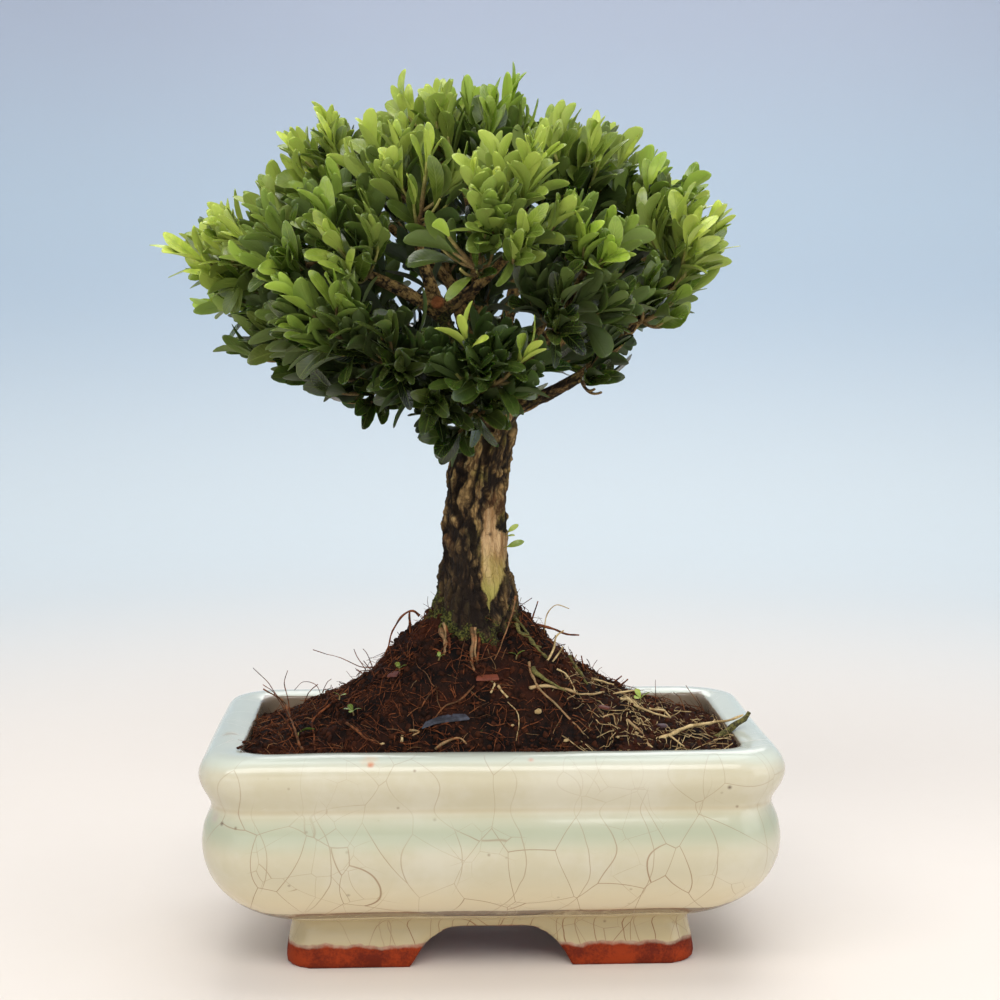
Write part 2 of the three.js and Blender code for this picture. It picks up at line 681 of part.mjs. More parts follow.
// Places on a blade: along it, across it and above it.
function placeOn(leaf, along, side, up) {
  const across = new THREE.Vector3().crossVectors(leaf.face, leaf.direction);
  return leaf.root.clone()
    .addScaledVector(leaf.direction, along)
    .addScaledVector(across, side)
    .addScaledVector(leaf.face, up);
}

// A plain closed body all round a blade, to test that the blade stands clear.
function bladeBody(leaf, margin) {
  const half = leaf.width / 2 + margin;
  const stalk = 0.5 + margin;
  const top = LEAF_THICKNESS + margin;
  const widest = leaf.length * LEAF_WIDEST_AT;
  const end = leaf.length + margin;
  const rise = leaf.bend * leaf.length;
  const outline = [[1.4, stalk], [widest, half], [end, half * LEAF_TIP_SHARE]];
  const rises = [0, rise, rise / 2];
  const rings = outline.map(([along, side], i) => [
    placeOn(leaf, along, side, rises[i] - margin),
    placeOn(leaf, along, side, rises[i] + margin),
    placeOn(leaf, along, 0, rises[i] + (i < 2 ? top : margin)),
    placeOn(leaf, along, -side, rises[i] + margin),
    placeOn(leaf, along, -side, rises[i] - margin),
  ].map((point) => point.toArray()));
  return loft(rings);
}

// The twig is square, and each leaf rises from one of its four faces between the two rings of a node.
// A blade has a flat underside, a raised midrib, its widest place beyond the middle, and a blunt tip.
function shootGeometry(shoot) {
  const points = [];
  const triangles = [];
  const ringAt = (t) => {
    const frame = frameAt(shoot.curve, t, shoot.reference);
    const radius = lerp(shoot.radii[0], shoot.radii[1], t);
    const first = points.length;
    for (let corner = 0; corner < 4; corner += 1) {
      const turn = shoot.firstTurn + Math.PI / 4 + (Math.PI / 2) * corner;
      points.push(frame.point.clone().addScaledVector(turned(frame, turn), radius).toArray());
    }
    return first;
  };
  const add = (point) => points.push(point.toArray()) - 1;
  const addLeaf = (leaf, a, b, c, d) => {
    const half = leaf.width / 2;
    const widest = leaf.length * LEAF_WIDEST_AT;
    const rise = leaf.bend * leaf.length;
    const right = add(placeOn(leaf, widest, half, rise));
    const left = add(placeOn(leaf, widest, -half, rise));
    const rib = add(placeOn(leaf, widest, 0, rise + LEAF_THICKNESS));
    const endRight = add(placeOn(leaf, leaf.length, half * LEAF_TIP_SHARE, rise / 2));
    const endLeft = add(placeOn(leaf, leaf.length, -half * LEAF_TIP_SHARE, rise / 2));
    triangles.push(
      [a, b, right], [a, right, left], [b, c, right], [d, a, left],
      [c, d, rib], [d, left, rib], [c, rib, right],
      [left, right, endRight], [left, endRight, endLeft], [right, rib, endRight],
      [rib, left, endLeft], [rib, endLeft, endRight],
    );
  };
  const nodes = shoot.nodes.filter((node) => node.leaves.some((leaf) => leaf.kept)).reverse();
  let lower = ringAt(0);
  triangles.push([lower, lower + 2, lower + 1], [lower, lower + 3, lower + 2]);
  const wall = (from, to, leafOn) => {
    for (let face = 0; face < 4; face += 1) {
      const a = from + ((face + 3) % 4);
      const b = from + face;
      const c = to + face;
      const d = to + ((face + 3) % 4);
      const leaf = leafOn(face);
      if (leaf) addLeaf(leaf, a, b, c, d);
      else triangles.push([a, b, c], [a, c, d]);
    }
  };
  for (const node of nodes) {
    const halfNode = NODE_HEIGHT / 2 / shoot.length;
    const from = ringAt(node.t - halfNode);
    const to = ringAt(node.t + halfNode);
    wall(lower, from, () => null);
    wall(from, to, (face) => {
      if (face % 2 !== node.pair % 2) return null;
      const leaf = node.leaves[face < 2 ? 0 : 1];
      return leaf.kept ? leaf : null;
    });
    lower = to;
  }
  triangles.push([lower, lower + 1, lower + 2], [lower, lower + 2, lower + 3]);
  return facetedGeometry(points, triangles);
}

function plainTwig(shoot, margin) {
  const bare = { ...shoot, nodes: [], radii: shoot.radii.map((radius) => radius + margin) };
  const ends = [0, 0.5, 1].map((t) => {
    const frame = frameAt(bare.curve, t, bare.reference);
    const radius = lerp(bare.radii[0], bare.radii[1], t);
    return [1, 3, 5, 7].map((corner) => {
      const turn = bare.firstTurn + (Math.PI / 4) * corner;
      return frame.point.clone().addScaledVector(turned(frame, turn), radius).toArray();
    });
  });
  return solidOf(loft(ends));
}

function leafCount(shoot) {
  return shoot.nodes.reduce((sum, node) => sum + node.leaves.filter((leaf) => leaf.kept).length, 0);
}

function boxOf(solid) {
  const { min, max } = solid.boundingBox();
  return new THREE.Box3(new THREE.Vector3(...min), new THREE.Vector3(...max));
}

function standsClear(candidate, others) {
  const box = boxOf(candidate);
  return others.every((other) => !box.intersectsBox(other.box) || candidate.intersect(other.solid).isEmpty());
}

// All sprays are grown together: twigs first, then leaf by leaf, and a leaf that would cross the wood
// or another shoot is left out.
function makeSprays() {
  const places = twigPlaces();
  const taken = [];
  const grown = SPRAYS.map((spray, index) => {
    const root = chooseRoot(new THREE.Vector3(...spray.tip), places, taken);
    taken.push(root);
    return growSpray(spray, index, root);
  });
  const woodSolids = [solidOf(trunkGeometry(0)), ...BRANCHES.map((branch) => branchSolid(branch, 0))];
  const placed = woodSolids.map((solid) => ({ spray: -1, solid, box: boxOf(solid) }));
  for (let number = 0; number <= SIDE_SHOOTS; number += 1) {
    grown.forEach((shoots, spray) => {
      const shoot = shoots[number];
      const others = placed.filter((other) => other.spray !== spray);
      shoot.kept = number === 0 || standsClear(plainTwig(shoot, GAP), others);
      if (!shoot.kept) return;
      const solid = plainTwig(shoot, 0);
      placed.push({ spray, shoot, solid, box: boxOf(solid) });
    });
  }
  for (let number = 0; number <= SIDE_SHOOTS; number += 1) {
    for (let pair = 0; pair < PAIRS_ON_TWIG; pair += 1) {
      grown.forEach((shoots, spray) => {
        const shoot = shoots[number];
        const node = shoot.nodes[pair];
        if (!shoot.kept || !node) return;
        for (const leaf of node.leaves) {
          const others = placed.filter((other) => other.shoot !== shoot);
          leaf.kept = standsClear(solidOf(bladeBody(leaf, GAP)), others);
          if (!leaf.kept) continue;
          const solid = solidOf(bladeBody(leaf, 0.02));
          placed.push({ spray, shoot, solid, box: boxOf(solid) });
        }
      });
    }
  }
  const clearOfWood = wood(GAP);
  return grown.map((shoots) => {
    const leafy = shoots.filter((shoot, number) => number === 0 || leafCount(shoot) >= LEAST_LEAVES_ON_SIDE);
    const solids = leafy.map((shoot) => solidOf(shootGeometry(shoot)));
    return oneBody(joinAll(solids).subtract(clearOfWood));
  });
}

// Scene

const materials = {
  glaze: { color: 0xcfd6bf, roughness: 0.22, metalness: 0 },
  soil: { color: 0x2e1d16, roughness: 0.95, metalness: 0 },
  bark: { color: 0x5d4a34, roughness: 0.9, metalness: 0 },
  screen: { color: 0x24282a, roughness: 0.6, metalness: 0 },
};
const OLD_LEAF = new THREE.Color(0x2c4a26);
const YOUNG_LEAF = new THREE.Color(0x7da63a);

function named(name, solid, look) {
  const mesh = new THREE.Mesh(geometryOf(solid), new THREE.MeshStandardMaterial(look));
  mesh.name = name;
  return mesh;
}

const bonsai = new THREE.Group();
bonsai.add(named('pot', oneBody(makePot()), materials.glaze));
bonsai.add(named('drain_screen_left', makeScreen(-1), materials.screen));
bonsai.add(named('drain_screen_right', makeScreen(1), materials.screen));
bonsai.add(named('soil', oneBody(makeSoil()), materials.soil));
bonsai.add(named('trunk_and_branches', oneBody(wood(0)), materials.bark));
makeSprays().forEach((solid, index) => {
  const color = OLD_LEAF.clone().lerp(YOUNG_LEAF, SPRAYS[index].young);
  bonsai.add(named(`spray_${SPRAYS[index].name}`, solid, { color, roughness: 0.45, metalness: 0 }));
});

// The frame's origin is the middle of the whole outline on the ground.
const outline = new THREE.Box3().setFromObject(bonsai);
const middle = outline.getCenter(new THREE.Vector3());
bonsai.position.set(-middle.x, -middle.y, 0);

export default bonsai;
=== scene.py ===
import math

import bmesh
import bpy
import numpy as np
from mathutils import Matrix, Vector, noise


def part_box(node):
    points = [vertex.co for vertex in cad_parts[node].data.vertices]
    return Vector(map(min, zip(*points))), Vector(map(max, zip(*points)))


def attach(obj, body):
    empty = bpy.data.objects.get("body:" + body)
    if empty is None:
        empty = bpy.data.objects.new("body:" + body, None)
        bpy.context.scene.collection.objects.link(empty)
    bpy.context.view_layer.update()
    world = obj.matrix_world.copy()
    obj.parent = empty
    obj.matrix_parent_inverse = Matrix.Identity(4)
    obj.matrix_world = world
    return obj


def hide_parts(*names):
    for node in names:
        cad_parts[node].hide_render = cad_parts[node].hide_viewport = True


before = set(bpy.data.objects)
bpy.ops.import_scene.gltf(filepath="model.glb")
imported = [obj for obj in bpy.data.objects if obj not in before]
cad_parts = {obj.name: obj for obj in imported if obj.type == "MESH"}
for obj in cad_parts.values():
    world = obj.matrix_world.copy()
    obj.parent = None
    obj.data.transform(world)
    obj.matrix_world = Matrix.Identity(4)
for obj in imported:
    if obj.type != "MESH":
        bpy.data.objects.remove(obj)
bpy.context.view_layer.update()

# A small Harland boxwood bonsai in a celadon crackle-glazed pot.
# Sizes are millimetres from the middle of the pot, on the ground; Blender's own are metres.
MM = 0.001
POT_LOW, POT_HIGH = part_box("pot")
POT_MIDDLE = np.array([(POT_LOW.x + POT_HIGH.x) / 2, (POT_LOW.y + POT_HIGH.y) / 2, 0.0])
UP = np.array([0.0, 0.0, 1.0])

# Camera and studio
CAMERA_PLACE = (-19.54, -551.36, 196.11)
CAMERA_LENS = 63.25
CAMERA_TILT = 5.68
CAMERA_TURN = -2.41
STUDIO_RADIUS = 1500
STUDIO_WALL = 1900
STUDIO_SWEEP = 700

# Pot
POT_WIDTH = 175
POT_DEPTH = 106
POT_HEIGHT = 71.1
RIM_TOP_WIDTH = 12.5
CORNER_RADIUS = 14
NECK_HEIGHT = 54.3
NECK_INSET = 3.9
BELLY_HEIGHT = 41.8
BELLY_SHOWN_HEIGHT = 44
BELLY_LOWEST_TURN = 20
BELLY_INSET = 0.3
FOOT_INSET = 25.2
FOOT_HEIGHT = 14.6
FOOT_SHOWN_HEIGHT = 15.4
FOOT_CORNER_RADIUS = 9
ARCH_HEIGHT = 12
ARCH_WIDTHS = (50, 22)
ARCH_BENDS = (2.5, 6)
SIDE_ARCH_WIDTHS = (20, 13)
FLOOR_TOP = 20
WALL = 9
DRAIN_HOLE_RADIUS = 6.5
DRAIN_HOLE_OFFSET = 36
DRAIN_HOLE_SIDES = 32
CORNER_STEPS = 10
BELLY_STEPS = 22
PROFILE_STEPS = 4
POT_FACE_SIZE = 1.35
POT_SOFTENING = 3
HAND_WAVE = 0.55
HAND_WAVE_LENGTH = 70
HAND_RIPPLE = 0.14
HAND_RIPPLE_LENGTH = 16

FOOT_PROFILE = [
    [FOOT_INSET - 0.9, 0, FOOT_CORNER_RADIUS],
    [FOOT_INSET - 1.3, 2, FOOT_CORNER_RADIUS],
    [FOOT_INSET - 0.6, 7, FOOT_CORNER_RADIUS],
    [FOOT_INSET + 1, FOOT_SHOWN_HEIGHT - 0.8, FOOT_CORNER_RADIUS],
]
SHOULDER_PROFILE = [
    [1.1, 48.6, CORNER_RADIUS + 3],
    [2.6, 52, CORNER_RADIUS + 1],
    [NECK_INSET - 0.2, NECK_HEIGHT, CORNER_RADIUS],
]
RIM_PROFILE = [
    [NECK_INSET - 0.7, 55.8, CORNER_RADIUS],
    [2.2, 57.9, CORNER_RADIUS],
    [0.8, 61, CORNER_RADIUS],
    [0, 64.6, CORNER_RADIUS],
    [0.9, 68, CORNER_RADIUS],
    [3, 70.4, CORNER_RADIUS],
    [5.6, POT_HEIGHT, CORNER_RADIUS],
    [RIM_TOP_WIDTH, POT_HEIGHT - 0.7, CORNER_RADIUS - 5],
]
INSIDE_PROFILE = [
    [WALL + 15, FLOOR_TOP, 8],
    [WALL + 6, FLOOR_TOP + 6, 9],
    [WALL, BELLY_HEIGHT, 10],
    [WALL + 2, NECK_HEIGHT, 9],
    [RIM_TOP_WIDTH, 65, 9],
]

# Soil
SOIL_HALF_WIDTH = POT_WIDTH / 2 - RIM_TOP_WIDTH
SOIL_HALF_DEPTH = POT_DEPTH / 2 - RIM_TOP_WIDTH
SOIL_LEVEL = 68
# Crumbs and fibres lie on the soil above this height.
COVER_FROM = 58
MOUND_RISE = 45
MOUND_REACH = 29
MOUND_STEEPNESS = 2.2
MOUND_NARROWNESS = 1.1
MOUND_CENTRE = np.array([-4.0, 6.0])
BACK_CORNER_DROP = 7
BACK_CORNER_START = 0.45
SOIL_ROUGHNESS = 0.9
SOIL_RAYS = 170
SOIL_RINGS = 56
SOIL_CLUMP = 1.7
GAP = 0.3
SOIL_OVER_SCREENS = 3
CRUMB_SIZE = 1.5
CRUMBS_PER_AREA = 520000
FIBRES_PER_AREA = 98000
FIBRE_KINDS = 7
FIBRE_LENGTH = 15
FIBRE_THICKNESS = 0.85
FIBRE_STEPS = 9
FIBRE_SEED = 7000
# Seeds of the bends of the green roots start here, past those of the loose ones.
GREEN_ROOT_SEED = 90

# Loose roots: radius at the root and at the tip, shade from 0 red-brown to 1 straw, and then x, y and
# height over the soil of each point on the route
LOOSE_ROOTS = [
    (0.45, 0.2, 0.55, -22, 2, 3, -24, 3, 7, -27, 3, 9.5, -30, 2, 9, -32, 2, 5, -33, 1, 3),
    (0.5, 0.35, 0.5, -25, 4, 0, -25, 3, 4, -25, 3, 8),
    (0.18, 0.12, 0.2, -37, 3, 0.5, -41, 4, 4, -47, 4, 11, -56, 4, 19),
    (0.14, 0.1, 0.35, -39, 4, 1, -42, 4, 8, -43, 4, 11),
    (0.14, 0.1, 0.35, -37, 4, 1, -39, 4, 7, -40, 4, 9),
    (0.22, 0.12, 0.4, -63, 4, 0, -66, 4, 6, -68, 4, 9, -71, 4, 14, -75, 4, 19),
    (0.2, 0.12, 0.3, -63, 2, 0, -64, 4, 6, -65, 4, 12, -64, 4, 16),
    (0.2, 0.12, 0.35, -63, 0, 0, -66, 4, 5, -69, 4, 10, -72, 4, 13),
    (0.5, 0.25, 0.62, -57, -34, 1, -58, -30, 1.2, -60, -21, 1.5, -63, -6, 2.5, -66, 4, 7, -72, 6, 11),
    (0.12, 0.1, 0.6, -53, 4, 1, -55, 4, 7, -59, 4, 10, -62, 4, 9),
    (0.45, 0.3, 0.5, -48, 3, 0.6, -50, -12, 0.8, -54, -15, 1, -55, -18, 1, -54, -26, 0.8, -53, -34, 0.5),
    (0.35, 0.2, 0.45, -39, -7, 0.5, -42, -8, 1, -44, -12, 1, -43, -18, 0.5),
    (0.3, 0.2, 0.6, -17, -22, 0.5, -19, -24, 1, -22, -27, 0.5),
    (0.35, 0.25, 0.62, -5, -23, 0.5, -10, -26, 1, -14, -27, 0.8, -19, -32, 0.5),
    (0.5, 0.3, 0.6, -44, -26, 0.5, -40, -32, 1, -37, -35, 0.8, -34, -35, 0.4),
    (0.4, 0.25, 0.75, -25, -32, 0.5, -22, -33, 1, -24, -34, 0.5),
    (0.45, 0.3, 0.7, -17, -38, 0.5, -14, -37, 1, -10, -36, 1, -7, -38, 0.4),
    (0.45, 0.4, 1.0, -27, -33, 0.6, -27, -35, 0.8),
    (0.4, 0.35, 1.0, 0, -21, 0.6, 1, -22, 0.8, 0, -24, 0.6),
    (0.4, 0.35, 1.0, 2, -22, 0.6, 3, -23, 0.8, 5, -24, 0.6),
    (0.2, 0.15, 0.85, 5, -25, 0.5, 8, -30, 0.8, 7, -37, 0.4),
    (0.3, 0.16, 0.66, 8, -12, 17, 7.4, -12, 13, 6, -13, 9, 4, -14, 4, 3, -15, 1.8, 1, -17, 0.5),
    (0.9, 0.4, 0.67, -15, -7.5, 1.8, -14.6, -9.5, 1.4, -13.8, -12, 1, -14.4, -14, 0.3),
    (0.6, 0.2, 0.72, -14, -7.6, 2.2, -13.6, -9.5, 1.5, -14.2, -12, 1.3, -13.8, -13.5, 0.4),
    (0.7, 0.3, 0.3, -13, -8, 1, -12.8, -11, 1, -12.2, -14, 0.3),
    (0.8, 0.4, 0.66, -5.6, -11.5, 2, -5.2, -14, 1.4, -5.8, -16.5, 1, -5.2, -20, 0.2),
    (0.55, 0.2, 0.7, -4.6, -11.8, 2.3, -4.4, -14, 1.5, -4.8, -16, 1.1, -4.4, -18, 0.3),
    (0.6, 0.3, 0.35, -3.6, -12.5, 1, -3.4, -15, 1, -4, -18, 0.3),
    (0.3, 0.2, 0.1, 14, 4, 0.5, 15, 4, 5, 16, 4, 9),
    (0.25, 0.15, 0.9, 18, 4, 1, 19, 4, 8, 22, 4, 14, 26, 4, 16),
    (0.5, 0.3, 0.2, 14, 1, 0.5, 18, 2, 3.5, 22, 2, 6, 26, 2, 8, 29, 2, 11),
    (0.4, 0.25, 1.0, 18, -10, 0.6, 20, -8, 4, 21, -9, 10, 23, -10, 14),
    (0.35, 0.2, 1.0, 20, -8, 0.5, 22, -6, 4, 23, -8, 8),
    (0.45, 0.25, 0.72, 12, -14, 0.6, 13, -18, 1, 15, -22, 1, 18, -24, 1, 23, -28, 1, 29, -33, 0.5),
    (0.6, 0.35, 0.8, 12, -22, 0.8, 17, -20, 1.2, 22, -20, 1.4, 26, -19, 1.2, 31, -14, 1, 36, -10, 1),
    (0.4, 0.25, 1.0, 21, -10, 0.6, 24, -11, 1.2, 26, -18, 0.6),
    (0.45, 0.3, 0.95, 33, 1, 0.8, 40, 0, 2),
    (0.4, 0.25, 0.95, 39, -4, 0.5, 48, -4, 4),
    (0.5, 0.3, 1.0, 41, -11, 0.8, 45, -8, 1.4, 48, -14, 0.6),
    (0.5, 0.3, 1.0, 43, -4, 1, 47, -14, 1.4, 57, -12, 1),
    (0.45, 0.25, 0.95, 50, -11, 1, 55, -9, 1.6, 57, -11, 0.8),
    (0.45, 0.3, 0.85, 44, -28, 0.8, 48, -36, 0.6),
    (0.7, 0.35, 1.0, 51, -30, 0.8, 56, -27, 1.8, 63, -21, 3, 70, -14, 3.5, 75, -11, 4, 80, -10, 6),
    (0.4, 0.25, 0.9, 54, -29, 0.8, 58, -34, 0.6),
    (0.5, 0.3, 0.75, 42, -21, 0.8, 45, -25, 1.2, 47, -36, 0.5),
    (0.3, 0.2, 0.8, 34, -26, 0.5, 37, -24, 1.6, 38, -27, 0.5),
    (0.14, 0.1, 0.4, 54, 4, 0.5, 54, 4, 5, 54, 4, 9),
    (0.16, 0.1, 0.6, 68, 10, 0.5, 69, 4, 3, 64, 4, 9),
    (0.35, 0.2, 0.15, 41, 13, 0.5, 44, 13, 5),
    (0.35, 0.2, 0.2, 43, 13, 0.5, 46, 13, 5),
    (0.3, 0.2, 0.2, 31, 4, 1, 30, 4, 5),
]
GREEN_ROOTS = [
    (0.65, 0.45, 0.8, 8, -6, 2, 10, -7.5, 1.4, 12.5, -7.5, 1.6, 15, -9, 1, 18, -9, 0.6),
    (0.4, 0.3, 0.3, 8, -5, 2.6, 11, -6, 2, 13.5, -8.6, 1.6, 16, -8, 1.2),
    (0.6, 0.4, 0.7, 26, 2, 0.8, 27.5, -0.5, 1.3, 29, -3, 1, 31, -9, 0.8),
    (0.8, 0.25, 1.0, 13, -15, 0.8, 16, -18, 1.6, 19, -20, 2, 23, -20, 1),
    (1.5, 0.8, 0.1, 70, -18, 0, 73, -17, 2.5, 77, -16, 4.5, 81, -16, 6.5),
]

# Stains on the glaze: place, reach, colour and strength
STAINS = [
    ((-36.1, -51.6, 69.6), 1.6, (188, 96, 54), 0.95), ((-36.4, -50, 71), 3.4, (214, 176, 140), 0.5),
    ((10.5, -50.5, 70.2), 1.5, (202, 150, 130), 0.7), ((78.5, -47, 44.5), 2.4, (168, 120, 72), 0.6),
    ((80, -42, 50), 2, (150, 110, 70), 0.6), ((-14.6, -38, 19), 1.6, (140, 100, 62), 0.6),
    ((-82, -44, 52), 2.6, (176, 160, 150), 0.5), ((-24, -36, 17), 2.2, (150, 108, 60), 0.6),
]

# Litter on the peat. Chips: outline in x and y, lift, and shade from 0 slate grey to 1 red-brown
CHIPS = [
    ([(-21, -34.6), (-17, -32.4), (-11, -31.2), (-7, -30.6), (-8, -28.8), (-12, -28.6), (-16, -29.8),
      (-20, -32)], 1.6, 0),
    ([(-4.5, -22.8), (-1, -22.6), (2.4, -21.6), (2, -20.2), (-1.6, -20.8), (-4.2, -21.6)], 2, 1),
    ([(33, -21), (36, -22.4), (37, -20.4), (34.4, -19.2)], 1.8, 0.8),
    ([(-32, -12), (-29, -13.6), (-28, -11.8), (-30.4, -10.6)], 1.8, 0.7),
    ([(52, -24), (54.6, -22), (53.4, -20.6), (51, -22.4)], 2, 0.3),
]
CHIP_THICKNESS = 0.7
# Seeds: x, y, lift and length
SEEDS = [
    (14, -30, 1.6, 3.6), (22, -36, 1.2, 2.4), (-33, -36, 1.1, 1.6), (38, -32, 1.2, 1.7), (6, -34, 1.2, 1.5),
]
# Seedlings: x, y, number of leaves, their length and youth
SEEDLINGS = [
    (-42, -21, 4, 3, 0.3), (-28, -12, 3, 2.6, 0.25), (48, -6, 3, 3.6, 0.7), (-47, -10, 2, 2.4, 0.5),
    (8, -15, 2, 2.8, 0.3), (-1, -12, 2, 3, 0.25), (-59, -24, 1, 5.5, 0.2), (-16, -16, 3, 2, 0.25),
]
# Peat that spilled on the rim: ends of the strip in x and y, how many crumbs, and their greatest size
SPILLS = [
    ((9, -42.4), (21, -42.6), 34, 1.5), ((-24, -41.6), (-10, -42.2), 12, 1.0),
    ((-75.4, -36), (-74.8, -28), 14, 1.3),
]
LITTER_SEED = 8000
SEEDLING_SEED = 8100
SEEDLING_BLADE_SEED = 8200

# Trunk: height, centre x, centre y, radius
TRUNK = [
    [62, -4, 1, 9.5],
    [92, -4, 1, 13.4],
    [100, -4, 1, 14.4],
    [107, -4, 0.5, 13.6],
    [116, -4.4, 0, 12.0],
    [127, -4.9, 0, 10.6],
    [138, -4.7, 0, 10],
    [149, -3.9, 0, 9.6],
    [159, -1.8, 0, 9.8],
    [167, 0, 0, 9.8],
    [174, 1, 0, 8.2],
    [179, 1, 0, 5.2],
]
TRUNK_SIDES = 48
TRUNK_STEPS = 6
BRANCH_SIDES = 12
BRANCH_LEVELS = 28
WOOD_FACE_SIZE = 0.68
WOOD_SOFTENING = 4
ROOT_FLARE = 0.16
FLARE_TOP = 112
FLARE_BOTTOM = 92
COLLAR = 1.1
COLLAR_LENGTH = 0.1
BRANCH_LUMPS = 0.12
BRANCH_BARK_FINER = 2.2
BRANCH_SLIMMER = 0.76

# Bare wood on the trunk's front: height, left edge and right edge, and how far back it goes
BARE_PATCH = [
    (104, 0.6, -0.8), (108, -0.3, 0.3), (110.6, -1, 1), (113.4, -1.3, 2.4), (116.3, -1.9, 4),
    (119, -2.3, 5.4), (126, -2.6, 6.4), (130, -2.2, 7.6), (131.5, -2.2, 4.3), (133, -1.9, 2.8),
    (137, -2.2, 2.8), (139, -1, 1.4), (142, 1.5, -1.5),
]
BARE_PATCH_FRONT = -1
# Cords of wood that twist up the trunk, and how deep the furrows between them are
CORDS = 3
CORD_TWIST = 0.022
FURROW_DEPTH = 1.3
FURROW_WIDTH = 0.17
DAMP_TOP = 136
DAMP_BOTTOM = 108
MOSSY_LIMB = (-10, -14, 186)
# Cut knots: place, direction and radius
CUT_KNOTS = [((-14, -22, 201), (-0.5, -0.8, 0.5), 2.2)]
CUT_KNOT_LENGTH = 4.5

# Main branches: a given route, and the radius at its root and at its end
BRANCHES = [
    ([[0, -2, 166], [12, -5, 172], [24, -9, 178], [37, -12, 188], [48, -10, 200], [58, -7, 211]], [3.4, 1.5]),
    ([[-2, 0, 166], [-18, -3, 175], [-32, -4, 178], [-48, -2, 182], [-62, -2, 189]], [4.4, 1.4]),
    ([[-32, -4, 178], [-40, -7, 176], [-45, -8, 174]], [2.2, 1.7]),
    ([[-2, -3, 168], [-8, -12, 182], [-15, -20, 200], [-20, -22, 214], [-24, -23, 232]], [5, 1.6]),
    ([[-15, -20, 200], [-28, -24, 207], [-42, -24, 213], [-58, -18, 216]], [3.2, 1.4]),
    ([[-15, -20, 200], [-5, -28, 207], [4, -36, 216], [8, -40, 224]], [2.8, 1.4]),
    ([[-3, 2, 168], [-22, 6, 184], [-42, 8, 198], [-62, 4, 208], [-70, 2, 213]], [4, 1.4]),
    ([[0, 1, 172], [-1, 3, 192], [-4, 2, 216], [-7, 1, 242]], [5, 1.5]),
    ([[-1, 3, 196], [-16, 6, 214], [-32, 4, 228], [-42, 0, 238]], [3, 1.4]),
    ([[1, 2, 170], [14, 2, 192], [24, 2, 214], [30, 2, 234]], [4, 1.5]),
    ([[2, 2, 170], [20, 8, 188], [38, 10, 206], [50, 8, 222]], [3.6, 1.5]),
    ([[2, -4, 168], [12, -18, 186], [20, -28, 198], [26, -32, 210]], [3.4, 1.4]),
    ([[-1, -6, 167], [-5, -20, 174], [-3, -32, 178]], [2.8, 1.6]),
    ([[-3, -5, 168], [-16, -18, 176], [-30, -28, 184], [-42, -28, 192]], [3, 1.4]),
    ([[-2, 4, 168], [-18, 20, 184], [-36, 32, 198], [-50, 32, 210]], [3.6, 1.4]),
    ([[0, 5, 170], [-6, 24, 192], [-12, 36, 212], [-14, 38, 230]], [3.8, 1.4]),
    ([[2, 4, 168], [14, 24, 182], [28, 36, 194], [38, 36, 206]], [3.6, 1.4]),
    ([[1, 4, 176], [8, 16, 204], [12, 24, 224], [14, 28, 240]], [3.4, 1.4]),
    ([[-1, 6, 167], [-8, 24, 176], [-10, 38, 184]], [3, 1.5]),
]
# The branch that was cut back to a stub bears no sprays.
CUT_STUB = 2

